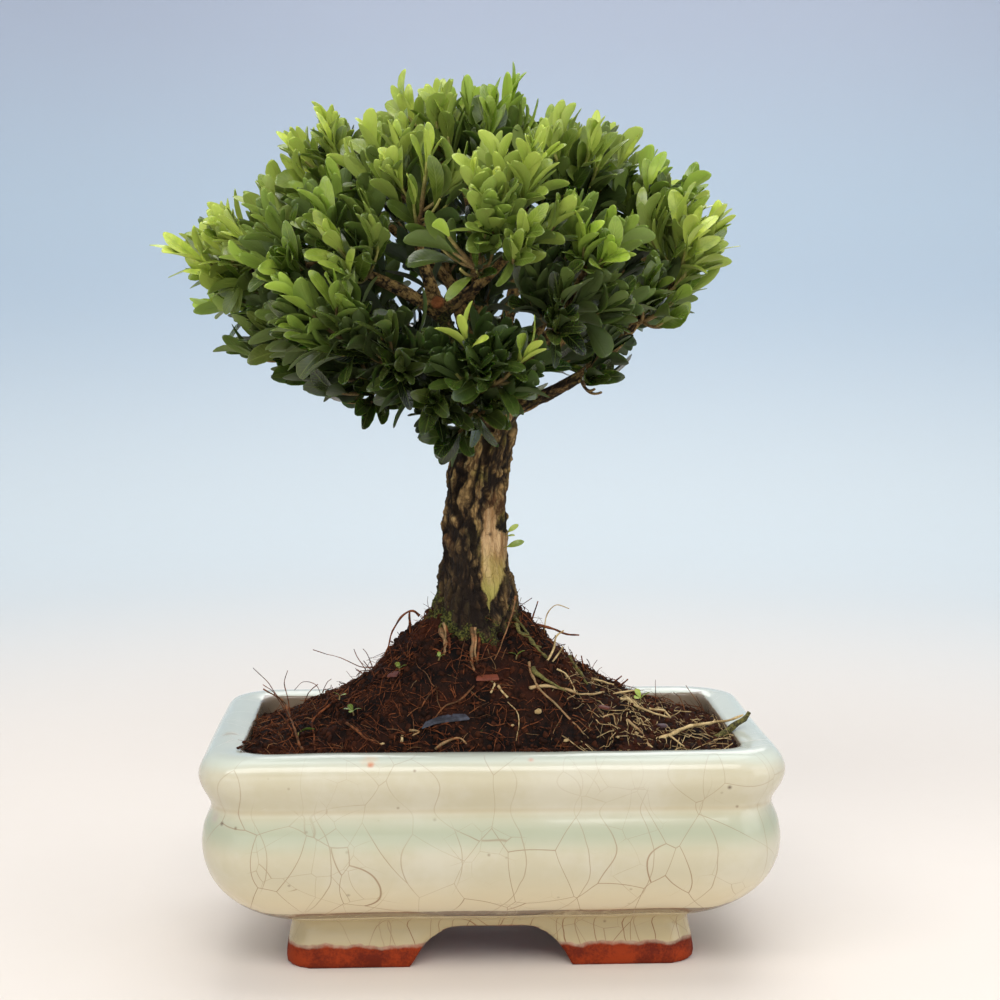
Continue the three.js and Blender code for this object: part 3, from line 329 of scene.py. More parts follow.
# Leafy sprays: the tip of each main twig. Old sprays are dark, young ones light.
SPRAYS = [
    ("far_left", [-90, -8, 216], 0.8),
    ("left_low", [-82, 8, 202], 0.4),
    ("lower_left", [-70, -6, 192], 0.2),
    ("bottom_left", [-58, 6, 180], 0.3),
    ("left_bright", [-77, -2, 226], 0.9),
    ("left_inner", [-68, -28, 213], 0.4),
    ("left_crown", [-56, -6, 246], 1),
    ("left_front", [-45, -41, 219], 0.9),
    ("upper_left", [-34, -26, 248], 0.8),
    ("tall_leaf", [-25, -8, 260], 0.8),
    ("top_middle", [-12, 12, 262], 0.7),
    ("top_front", [-19, -37, 243], 0.9),
    ("top_right", [6, -2, 264], 0.6),
    ("front_middle", [-13, -51, 221], 0.7),
    ("front_high", [2, -43, 240], 0.8),
    ("front_bright", [8, -54, 221], 1),
    ("yellow_top", [19, -16, 248], 1),
    ("right_pair", [36, 8, 250], 0.8),
    ("right_round", [50, -4, 238], 0.7),
    ("right_crown", [57, -16, 227], 0.9),
    ("right_crown_back", [64, 10, 230], 0.9),
    ("far_right", [67, -5, 217], 0.8),
    ("right_pale", [55, -20, 203], 0.5),
    ("right_upright", [40, -28, 202], 0.3),
    ("right_low", [38, -18, 180], 0.1),
    ("bright_low", [-8, -46, 192], 0.9),
    ("bright_low_right", [9, -44, 187], 0.8),
    ("dark_fan", [-17, -36, 174], 0),
    ("hanging", [-10, -24, 164], 0),
    ("dark_middle", [20, -47, 206], 0),
    ("right_middle", [32, -40, 222], 0.6),
    ("left_wood", [-60, -22, 196], 0.2),
    ("left_under", [-46, -20, 176], 0.1),
    ("front_left_low", [-30, -46, 193], 0.1),
    ("front_left", [-56, -40, 203], 0.4),
    ("crown_left", [-45, -28, 234], 0.7),
    ("back_far_left", [-76, 22, 216], 0.6),
    ("back_left_low", [-62, 36, 202], 0.2),
    ("back_left_crown", [-62, 20, 236], 0.8),
    ("back_left", [-42, 50, 216], 0.5),
    ("back_left_top", [-42, 28, 248], 0.8),
    ("back_middle", [-22, 54, 234], 0.7),
    ("back_top", [-16, 28, 259], 0.8),
    ("back_centre", [-2, 56, 215], 0.5),
    ("back_high", [4, 48, 244], 0.7),
    ("back_top_right", [20, 28, 257], 0.8),
    ("back_right", [25, 54, 222], 0.6),
    ("back_right_crown", [38, 34, 242], 0.8),
    ("back_right_low", [48, 44, 208], 0.3),
    ("back_far_right", [60, 30, 220], 0.7),
    ("back_low_left", [-28, 46, 190], 0.1),
    ("back_low", [4, 50, 188], 0),
    ("back_low_right", [34, 40, 186], 0.1),
    ("side_low_left", [-50, 26, 188], 0.2),
    ("side_low_right", [50, 20, 196], 0.3),
]

# Choice of the place that a twig springs from
BRANCH_PLACES = 16
FIRST_BRANCH_PLACE = 5
REACH_COST = 1.7
LEAN_GAIN = 0.7
CROWDED_WITHIN = 6
CROWDING_COST = 8
SHORTEST_TWIG = 14
SHORT_TWIG_COST = 3

# Growth rule of a spray
TWIG_RADIUS = (0.95, 0.5)
SIDE_TWIG_RADIUS = (0.55, 0.4)
TWIG_SAG = 0.14
TWIG_POINTS = 9
FIRST_PAIR = 1.2
INTERNODE = 3.5
PAIRS_ON_TWIG = 12
PAIRS_ON_SIDE = 4
SIDE_SHOOTS = 9
LOWEST_NODE = 0.12
LOWEST_SIDE_SHOOT = 0.15
SIDE_SHOOT_FROM_TIP = 15
SIDE_SHOOT_LENGTH = (10, 17)
SIDE_SHOOT_SPREAD = 48
SIDE_SHOOT_TURN = 0.5
SIDE_SHOOT_RISE = 1.0
LEAF_LENGTH = (12.5, 17)
LEAF_SLENDERNESS = (0.26, 0.35)
LEAF_SPREAD_AT_TIP = 17
LEAF_SPREAD_PER_PAIR = 8
LEAF_SPREAD_DRAW = 13
LEAF_TURN_DRAW = 0.25
TIP_LEAF_SHARE = 0.88
LEAF_BEND = (-0.06, 0.1)
LEAF_LIFT = 0.42
# How far the lift points out of the crown instead of straight up
LIFT_OUTWARD = 0.55
TIP_LEAF_LIFT = 0.75
LEAF_FACES_UP = 0.2

# Blade of a leaf: share of its length, half its width as a share of the widest place
BLADE_OUTLINE = [
    (0, 0.1), (0.12, 0.3), (0.3, 0.72), (0.5, 0.97), (0.68, 1), (0.85, 0.8), (0.955, 0.46), (1, 0.16),
]
BLADE_THICKNESS = 0.032
BLADE_END_THICKNESS = 0.4
BLADE_ARCH = 0.05
# Width of an old and of a young blade, as a share of the width drawn
BLADE_WIDTH_SHARES = (1, 0.8)
# Youth of a leaf, from 0 dark to 1 bright
LEAF_AGE_FROM_SPRAY = 0.8
LEAF_AGE_AT_TIP = 0.38
LEAF_AGE_PER_PAIR = 0.13
LEAF_AGE_ON_SIDE = 0.1
LEAF_AGE_DRAW = 0.2
# The crown: well inside it and on its underside, leaves are older, and painted shade darkens them there as
# well
CROWN_CENTRE = np.array([-6.0, 2.0, 207.0])
CROWN_REACH = np.array([86.0, 60.0, 56.0])
CROWN_DARK_DEPTH = (0.08, 0.45)
CROWN_DARK_HEIGHT = (224, 194)
CROWN_DARK_SLOPE = 0.32
CROWN_DARK_MIDDLE = 8
# The clipped underside of the crown, as x and height, and how it rises to the front and back
CROWN_UNDERSIDE = [
    (-105, 214), (-100, 203), (-84, 190), (-71, 183), (-55, 176), (-43, 169), (-34, 159), (-15, 147),
    (-4, 148), (10, 168), (23, 173), (41, 179), (52, 189), (63, 203), (75, 219),
]
UNDERSIDE_RISE = 0.004
# Where few leaves hide the limbs in front: middle and half sizes along x and z, and share of leaves left
THIN_MIDDLE = (-20, 216)
THIN_HALF = (15, 24)
THIN_FRONT = -20
THIN_KEPT = 0.3
# Bright sprigs with only a few young leaves at their tip
SPRIGS = ("bright_low", "bright_low_right")
# Youth shown by sprays that differ from their own at the front
SHOWN_YOUTH = {"front_bright": 0.35, "front_middle": 0.6}
# Share of the leaves left on sparse sprays
SPARSE = {"right_low": 0.45, "left_under": 0.8, "lower_left": 0.85, "right_pale": 0.75, "right_upright": 0.7,
          "right_middle": 0.85, "far_right": 0.85, "side_low_right": 0.7}
# Short dark shoots on the limbs inside the crown
INNER_EVERY = 2
INNER_FRONT = -14
INNER_LENGTH = (11, 19)
INNER_SEED = 8300
INNER_YOUTH = 0.1
# A sprout on the trunk's right side: root and tip of each small leaf
TRUNK_SPROUT = [
    ((5.8, -5, 131.5), (8.6, -7, 134.2)), ((5.4, -6, 127), (10.8, -8, 129)),
    ((5.8, -5, 130.5), (8, -8, 130.6)),
]
THINNING_SEED = 9000
BLADE_SEED = 50000
# How steeply a fold lifts the edges of a blade
BLADE_FOLD = 0.7
# Each kind of blade: how far it folds along its midrib, curls back at its tip, and twists
BLADE_KINDS = [
    (0.08, 0.02, 0.0), (0.14, 0.10, 0.25), (0.2, 0.16, -0.3), (0.1, -0.07, 0.2), (0.03, 0.2, -0.15),
    (0.24, 0.05, 0.4),
]


# Small tools of the trade

def in_metres(points):
    return np.asarray(points, float).reshape(-1, 3) * MM + POT_MIDDLE


def unit(vector):
    return vector / np.linalg.norm(vector)


def mix(low, high, share):
    return low + (high - low) * share


def smooth_step(values, low, high):
    share = np.clip((np.asarray(values, float) - low) / (high - low), 0, 1)
    return share * share * (3 - 2 * share)


def piece_from(name, points, faces, smooth=True):
    """A new object at the origin from points in millimetres."""
    mesh = bpy.data.meshes.new(name)
    mesh.from_pydata(in_metres(points).tolist(), [], faces)
    mesh.polygons.foreach_set("use_smooth", [smooth] * len(mesh.polygons))
    piece = bpy.data.objects.new(name, mesh)
    bpy.context.scene.collection.objects.link(piece)
    return piece


def make_plain(piece):
    """Turns the result of the piece's modifiers into its own mesh."""
    graph = bpy.context.evaluated_depsgraph_get()
    worked = bpy.data.meshes.new_from_object(piece.evaluated_get(graph))
    piece.modifiers.clear()
    unworked = piece.data
    piece.data = worked
    bpy.data.meshes.remove(unworked)
    for index in reversed(range(len(worked.materials))):
        if worked.materials[index] is None:
            worked.materials.pop(index=index)
    return piece


def grow_one_skin(piece, face_size, rounds):
    """Gives forms that may overlap one skin of even faces, and softens its edges."""
    skin = piece.modifiers.new("one skin", "REMESH")
    skin.mode = "VOXEL"
    skin.voxel_size = face_size * MM
    skin.use_smooth_shade = True
    soften = piece.modifiers.new("soft edges", "SMOOTH")
    soften.factor = 0.5
    soften.iterations = rounds
    make_plain(piece)


def points_of(piece):
    """The piece's points in millimetres from the middle of the pot."""
    found = np.empty(len(piece.data.vertices) * 3)
    piece.data.vertices.foreach_get("co", found)
    return (found.reshape(-1, 3) - POT_MIDDLE) / MM


def normals_of(piece):
    found = np.empty(len(piece.data.vertices) * 3)
    piece.data.vertices.foreach_get("normal", found)
    return found.reshape(-1, 3)


def move_points(piece, points):
    piece.data.vertices.foreach_set("co", in_metres(points).ravel())
    piece.data.update()


def note_on_points(piece, name, values):
    """Keeps one number for each point, for a material or a node tree to read."""
    attribute = piece.data.attributes.new(name, "FLOAT", "POINT")
    attribute.data.foreach_set("value", np.asarray(values, float))


def note_vectors(piece, name, values):
    attribute = piece.data.attributes.new(name, "FLOAT_VECTOR", "POINT")
    attribute.data.foreach_set("vector", np.asarray(values, float).ravel())


def noise_at(points, length, seed=0):
    """Smooth noise from about -1 to 1, whose lumps are as long as given."""
    shift = Vector((seed * 17.3, seed * 7.1, seed * 3.7))
    return np.array([noise.noise(Vector(p) / length + shift) for p in points])


def loft(rings):
    """Closed skin over rings of points that run counter-clockwise, from the first ring to the last."""
    rings = np.asarray(rings, float)
    levels, count = rings.shape[:2]
    faces = []
    for level in range(levels - 1):
        for i in range(count):
            a = level * count + i
            b = level * count + (i + 1) % count
            faces.append((a, b, b + count, a + count))
    faces.append(tuple(range(count - 1, -1, -1)))
    faces.append(tuple(range((levels - 1) * count, levels * count)))
    return rings.reshape(-1, 3), faces


def curve_point(rows, t):
    """Place at share t of a smooth centripetal curve through all rows."""
    rows = np.asarray(rows, float)
    last = len(rows) - 1
    at = min(int(t * last), last - 1)
    share = t * last - at
    b, c = rows[at], rows[at + 1]
    a = rows[at - 1] if at > 0 else 2 * b - c
    d = rows[at + 2] if at + 2 <= last else 2 * c - b
    before, middle, after = [
        max(np.linalg.norm(q - p) ** 0.5, 1e-4) for p, q in ((a, b), (b, c), (c, d))
    ]
    leaving = ((b - a) / before - (c - a) / (before + middle) + (c - b) / middle) * middle
    arriving = ((c - b) / middle - (d - b) / (middle + after) + (d - c) / after) * middle
    square = share * share * (-3 * b + 3 * c - 2 * leaving - arriving)
    cube = share ** 3 * (2 * b - 2 * c + leaving + arriving)
    return b + leaving * share + square + cube


def smooth_rows(rows, steps):
    """The curve through the rows, with the given steps between two rows."""
    count = (len(rows) - 1) * steps
    return np.array([curve_point(rows, i / count) for i in range(count + 1)])


def tube_rings(centres, radii, sides):
    """Rings along a path, turned as little as possible from one to the next."""
    centres = np.asarray(centres, float)
    along = np.gradient(centres, axis=0)
    across = np.cross(along[0], UP)
    if np.linalg.norm(across) < 0.2 * np.linalg.norm(along[0]):
        across = np.array([1.0, 0.0, 0.0])
    rings = []
    for centre, direction, radius in zip(centres, along, radii):
        direction = unit(direction)
        across = unit(across - direction * np.dot(across, direction))
        over = np.cross(direction, across)
        angles = np.arange(sides) * 2 * math.pi / sides
        spokes = np.outer(np.cos(angles), across) + np.outer(np.sin(angles), over)
        rings.append(centre + radius * spokes)
    return np.array(rings)


def make_draw(seed):
    """A draw of numbers between two limits, the same for the same seed."""
    state = (seed * 7919 + 12345) % 2147483647

    def step():
        nonlocal state
        state = state * 16807 % 2147483647
        return state / 2147483647

    step()
    step()
    return lambda low, high: mix(low, high, step())


# Small tools for node trees

# The node tree that the tools below draw in
drawing = {}


def give(sockets, inputs):
    """Sets sockets to values, or links them to other nodes' sockets."""
    for key, value in inputs.items():
        if isinstance(value, bpy.types.NodeSocket):
            drawing["tree"].links.new(value, sockets[key])
        else:
            sockets[key].default_value = value


def add_node(kind, inputs=None, **settings):
    """A node with its settings and inputs."""
    node = drawing["tree"].nodes.new(kind)
    for name, value in settings.items():
        setattr(node, name, value)
    give(node.inputs, inputs or {})
    return node


def maths(operation, first, second=0.0, clamp=False):
    return add_node("ShaderNodeMath", {0: first, 1: second}, operation=operation, use_clamp=clamp).outputs[0]


def plus(first, second, clamp=False):
    return maths("ADD", first, second, clamp)


def minus(first, second, clamp=False):
    return maths("SUBTRACT", first, second, clamp)


def times(first, second):
    return maths("MULTIPLY", first, second)


def larger(first, second):
    return maths("MAXIMUM", first, second)


def height_of(vector):
    """The upright part of a place or of a normal."""
    return add_node("ShaderNodeSeparateXYZ", {0: vector}).outputs[2]


def vector_maths(operation, first, second=(0, 0, 0)):
    return add_node("ShaderNodeVectorMath", {0: first, 1: second}, operation=operation).outputs[0]


def vector_maths_value(operation, first, second=(0, 0, 0)):
    return add_node("ShaderNodeVectorMath", {0: first, 1: second}, operation=operation).outputs["Value"]


def scaled(vector, scale):
    return add_node("ShaderNodeVectorMath", {0: vector, "Scale": scale}, operation="SCALE").outputs[0]


def noise_value(vector, scale, detail=3.0, roughness=0.5, output=0):
    inputs = {"Vector": vector, "Scale": scale, "Detail": detail, "Roughness": roughness}
    return add_node("ShaderNodeTexNoise", inputs).outputs[output]


def cells(vector, scale, feature="F1", output=0, randomness=1.0):
    inputs = {"Vector": vector, "Scale": scale, "Randomness": randomness}
    return add_node("ShaderNodeTexVoronoi", inputs, feature=feature).outputs[output]


def between(value, low, high, to_low=0.0, to_high=1.0):
    """Smoothly from one value to another as the input goes from low to high."""
    inputs = {0: value, 1: low, 2: high, 3: to_low, 4: to_high}
    return add_node("ShaderNodeMapRange", inputs, interpolation_type="SMOOTHSTEP").outputs[0]


def fading(value, reach, start=0.0):
    """1 where the value is low, falling smoothly to 0 where it passes the reach."""
    return minus(1.0, between(value, start, reach), clamp=True)


def blend_colours(share, first, second, how="MIX"):
    inputs = {0: share, 6: first, 7: second}
    return add_node("ShaderNodeMix", inputs, data_type="RGBA", blend_type=how).outputs[2]


def attribute(name, output="Fac"):
    return add_node("ShaderNodeAttribute", attribute_name=name).outputs[output]


def read_number(name):
    return add_node("GeometryNodeInputNamedAttribute", {0: name}, data_type="FLOAT").outputs[0]


def read_vector(name):
    return add_node("GeometryNodeInputNamedAttribute", {0: name}, data_type="FLOAT_VECTOR").outputs[0]


def colour(red, green, blue):
    """A colour as a painter reads it off a chart, from 0 to 255, in linear light."""
    shares = (red / 255, green / 255, blue / 255)
    linear = [c / 12.92 if c <= 0.04045 else ((c + 0.055) / 1.055) ** 2.4 for c in shares]
    return (*linear, 1.0)


def start_group(name, inputs, outputs):
    """An empty shader group with named inputs and outputs."""
    group = bpy.data.node_groups.new(name, "ShaderNodeTree")
    for label, kind, value in inputs:
        socket = group.interface.new_socket(label, in_out="INPUT", socket_type=f"NodeSocket{kind}")
        if value is not None:
            socket.default_value = value
    for label, kind in outputs:
        group.interface.new_socket(label, in_out="OUTPUT", socket_type=f"NodeSocket{kind}")
    drawing["tree"] = group
    return group, add_node("NodeGroupInput").outputs, add_node("NodeGroupOutput").inputs


def use_group(group, inputs):
    return add_node("ShaderNodeGroup", inputs, node_tree=group).outputs


def start_material(name, **constants):
    """A material with its principled shader, and the object's own coordinates."""
    material = bpy.data.materials.new(name)
    material.use_nodes = True
    drawing["tree"] = material.node_tree
    shader = next(node for node in material.node_tree.nodes if node.type == "BSDF_PRINCIPLED")
    for key, value in constants.items():
        shader.inputs[key.replace("_", " ")].default_value = value
    place = add_node("ShaderNodeTexCoord").outputs["Object"]
    return material, shader, place


def bump_normal(height, strength, distance):
    inputs = {"Height": height, "Strength": strength, "Distance": distance * MM}
    return add_node("ShaderNodeBump", inputs).outputs[0]


def join_up(shader, **sockets):
    give(shader.inputs, {key.replace("_", " "): value for key, value in sockets.items()})


def start_tree(name, sockets):
    """An empty geometry tree with named inputs, and one geometry output."""
    tree = bpy.data.node_groups.new(name, "GeometryNodeTree")
    tree.interface.new_socket("Geometry", in_out="INPUT", socket_type="NodeSocketGeometry")
    for label, kind in sockets:
        tree.interface.new_socket(label, in_out="INPUT", socket_type=f"NodeSocket{kind}")
    tree.interface.new_socket("Geometry", in_out="OUTPUT", socket_type="NodeSocketGeometry")
    drawing["tree"] = tree
    return tree, add_node("NodeGroupInput").outputs, add_node("NodeGroupOutput").inputs


def field(kind):
    """A value that every point has, such as its position or its normal."""
    return add_node("GeometryNodeInput" + kind).outputs[0]


def shaped(kind, inputs, **settings):
    """What a geometry node of the kind named makes."""
    return add_node("GeometryNode" + kind, inputs, **settings).outputs[0]


def joined(made, first, second):
    join = add_node("GeometryNodeJoinGeometry")
    drawing["tree"].links.new(first, join.inputs[0])
    drawing["tree"].links.new(second, join.inputs[0])
    give(made, {0: join.outputs[0]})


def random_number(low, high, seed):
    return add_node("FunctionNodeRandomValue", {2: low, 3: high, 8: seed}, data_type="FLOAT").outputs[1]


def random_vector(low, high, seed):
    inputs = {0: low, 1: high, 8: seed}
    return add_node("FunctionNodeRandomValue", inputs, data_type="FLOAT_VECTOR").outputs[0]


def store_number(geometry, name, value, domain="POINT"):
    return add_node(
        "GeometryNodeStoreNamedAttribute", {0: geometry, "Name": name, "Value": value},
        data_type="FLOAT", domain=domain,
    ).outputs[0]


def merged(skins):
    points, faces, first = [], [], 0
    for skin_points, skin_faces in skins:
        points.append(skin_points)
        faces += [tuple(first + corner for corner in face) for face in skin_faces]
        first += len(skin_points)
    return np.concatenate(points), faces


def set_inputs(modifier, **values):
    """Gives a modifier's node tree its named inputs."""
    for item in modifier.node_group.interface.items_tree:
        if item.item_type == "SOCKET" and item.in_out == "INPUT" and item.name.replace(" ", "_") in values:
            modifier[item.identifier] = values[item.name.replace(" ", "_")]


# Effects that several materials share

def make_mottle_group():
    """Soft patches of two colours with a finer grain in them, and the grain's height."""
    group, inputs, outputs = start_group(
        "soft_mottle",
        [
            ("Place", "Vector", None),
            ("Patch Scale", "Float", 60.0),
            ("Grain Scale", "Float", 900.0),
            ("Grain Share", "Float", 0.4),
            ("First Colour", "Color", (0.5, 0.5, 0.5, 1)),
            ("Second Colour", "Color", (0.2, 0.2, 0.2, 1)),
        ],
        [("Colour", "Color"), ("Height", "Float")],
    )
    patches = noise_value(inputs["Place"], inputs["Patch Scale"], 4, 0.6)
    grain = noise_value(inputs["Place"], inputs["Grain Scale"], 5, 0.65)
    fine = times(minus(grain, 0.5), inputs["Grain Share"])
    share = between(plus(patches, fine), 0.36, 0.64)
    colours = blend_colours(share, inputs["First Colour"], inputs["Second Colour"])
    give(outputs, {"Colour": colours})
    give(outputs, {"Height": plus(times(patches, 0.5), grain)})
    return group


def make_growth_group():
    """Green moss and algae that gather on a surface by a given share."""
    group, inputs, outputs = start_group(
        "moss_and_algae",
        [
            ("Place", "Vector", None),
            ("Base Colour", "Color", (0.2, 0.2, 0.2, 1)),
            ("Share", "Float", 0.5),
            ("Spot Scale", "Float", 220.0),
        ],
        [("Colour", "Color"), ("Cover", "Float")],
    )
    spots = noise_value(inputs["Place"], inputs["Spot Scale"], 6, 0.7)
    threshold = minus(0.78, times(inputs["Share"], 0.5))
    cover = between(minus(spots, threshold), -0.03, 0.07)
    shade = noise_value(inputs["Place"], 1500, 2)
    green = blend_colours(between(shade, 0.35, 0.7), colour(24, 25, 10), colour(92, 92, 38))
    give(outputs, {"Colour": blend_colours(cover, inputs["Base Colour"], green)})
    give(outputs, {"Cover": cover})
    return group


def make_specks_group():
    """Small round specks scattered over a surface, strongest where their share is high."""
    group, inputs, outputs = start_group(
        "scattered_specks",
        [
            ("Place", "Vector", None),
            ("Scale", "Float", 200.0),
            ("Size", "Float", 0.12),
            ("Share", "Float", 0.2),
        ],
        [("Specks", "Float")],
    )
    distance = cells(inputs["Place"], inputs["Scale"])
    chance = add_node(
        "ShaderNodeSeparateColor", {0: cells(inputs["Place"], inputs["Scale"], output=1)}
    ).outputs[0]
    chosen = maths("LESS_THAN", chance, inputs["Share"])
    inside = fading(distance, inputs["Size"])
    give(outputs, {"Specks": times(inside, chosen)})
    return group


def make_leaf_group():
    """Colours of a boxwood blade: pale midrib and edge, faint side veins, a lighter underside, and painted
    shade on leaves deep in the crown.
    """
    group, inputs, outputs = start_group(
        "boxwood_blade",
        [
            ("Place", "Vector", None),
            ("Blade", "Vector", None),
            ("Age", "Float", 0.5),
            ("Tint", "Float", 0.5),
            ("Inside", "Float", 0.0),
            ("Young Colour", "Color", colour(150, 176, 62)),
            ("Old Colour", "Color", colour(40, 58, 30)),
        ],
        [
            ("Colour", "Color"),
            ("Roughness", "Float"),
            ("Height", "Float"),
        ],
    )
    parts = add_node("ShaderNodeSeparateXYZ", {0: inputs["Blade"]}).outputs
    under = maths("GREATER_THAN", parts[0], 1.5)
    side = maths("FRACT", parts[0])
    off_rib = maths("ABSOLUTE", minus(times(side, 2.0), 1.0))
    rib = fading(off_rib, 0.11, 0.03)
    edge = between(off_rib, 0.86, 0.98)
    slant = plus(times(parts[1], 75.0), times(off_rib, -16.0))
    veins = between(maths("SINE", slant), 0.35, 1.0)
    base = blend_colours(inputs["Age"], inputs["Old Colour"], inputs["Young Colour"])
    lighter = blend_colours(0.4, base, colour(206, 208, 108))
    low_tint = times(between(inputs["Tint"], 0.7, 0.1), 0.75)
    deeper = blend_colours(low_tint, base, blend_colours(1.0, base, colour(132, 148, 134), "MULTIPLY"))
    tinted = blend_colours(times(inputs["Tint"], 0.6), deeper, lighter)
    patches = noise_value(inputs["Place"], 240, 3)
    darker = blend_colours(1.0, tinted, colour(205, 214, 190), "MULTIPLY")
    blade = blend_colours(between(patches, 0.35, 0.7), tinted, darker)
    veined = blend_colours(times(veins, 0.16), blade, lighter)
    ribbed = blend_colours(times(rib, 0.45), veined, colour(150, 164, 78))
    edged = blend_colours(times(edge, 0.35), ribbed, colour(156, 168, 88))
    olive = blend_colours(0.34, base, colour(140, 152, 74))
    sided = blend_colours(under, edged, olive)
    # Painted shade: leaves deep in the crown and on its underside are multiplied darker by this share.
    shaded = blend_colours(1.0, sided, colour(130, 142, 132), "MULTIPLY")
    give(outputs, {"Colour": blend_colours(inputs["Inside"], sided, shaded)})
    gloss = plus(0.2, times(under, 0.3))
    give(outputs, {"Roughness": plus(gloss, times(patches, 0.1))})
    relief = minus(times(veins, 0.25), rib)
    give(outputs, {"Height": relief})
    return group


mottle = make_mottle_group()
growth = make_growth_group()
specks = make_specks_group()
leaf_blade = make_leaf_group()


# Materials

# Half the width of a long hair crack in the glaze, and how far it bends, in metres
HAIR_CRACK = 0.0002
HAIR_BEND = 0.0034


def mottled(place, patch_scale, grain_scale, grain_share, first, second):
    """Soft patches of two colours with a finer grain in them."""
    return use_group(mottle, {
        "Place": place, "Patch Scale": patch_scale, "Grain Scale": grain_scale, "Grain Share": grain_share,
        "First Colour": colour(*first), "Second Colour": colour(*second),
    })


def finish(shader, base, height, roughness, smoother, strength, distance):
    """Joins up a colour, a roughness that falls where the relief is high, and the relief's own bump."""
    join_up(
        shader,
        Base_Color=base,
        Roughness=minus(roughness, times(height, smoother)),
        Normal=bump_normal(height, strength, distance),
    )


def crackle_lines(place, scale, width):
    """Hair cracks between cells of glaze, from 0 on the glaze to 1 in the crack."""
    edge = cells(place, scale, "DISTANCE_TO_EDGE")
    return fading(edge, width)


def band(value, middle, half_width):
    """1 at the middle of a band and 0 past its edges."""
    away = maths("ABSOLUTE", minus(value, middle))
    return fading(away, half_width)


def arcs(place, across, spacing, scale):
    """Long hair cracks that run side by side and bend as they go."""
    along = vector_maths_value("DOT_PRODUCT", place, across)
    bend = times(noise_value(place, scale, 2), HAIR_BEND / spacing)
    turns = plus(maths("DIVIDE", along, spacing), bend)
    away = maths("ABSOLUTE", minus(maths("FRACT", turns), 0.5))
    line = fading(away, HAIR_CRACK / spacing)
    return times(line, between(noise_value(place, 18, 2), 0.44, 0.56))


def scaled_noise(place, scale, reach):
    return times(minus(noise_value(place, scale, 3), 0.5), reach)


def tint(share, strength, base, added):
    return blend_colours(times(share, strength), base, colour(*added))


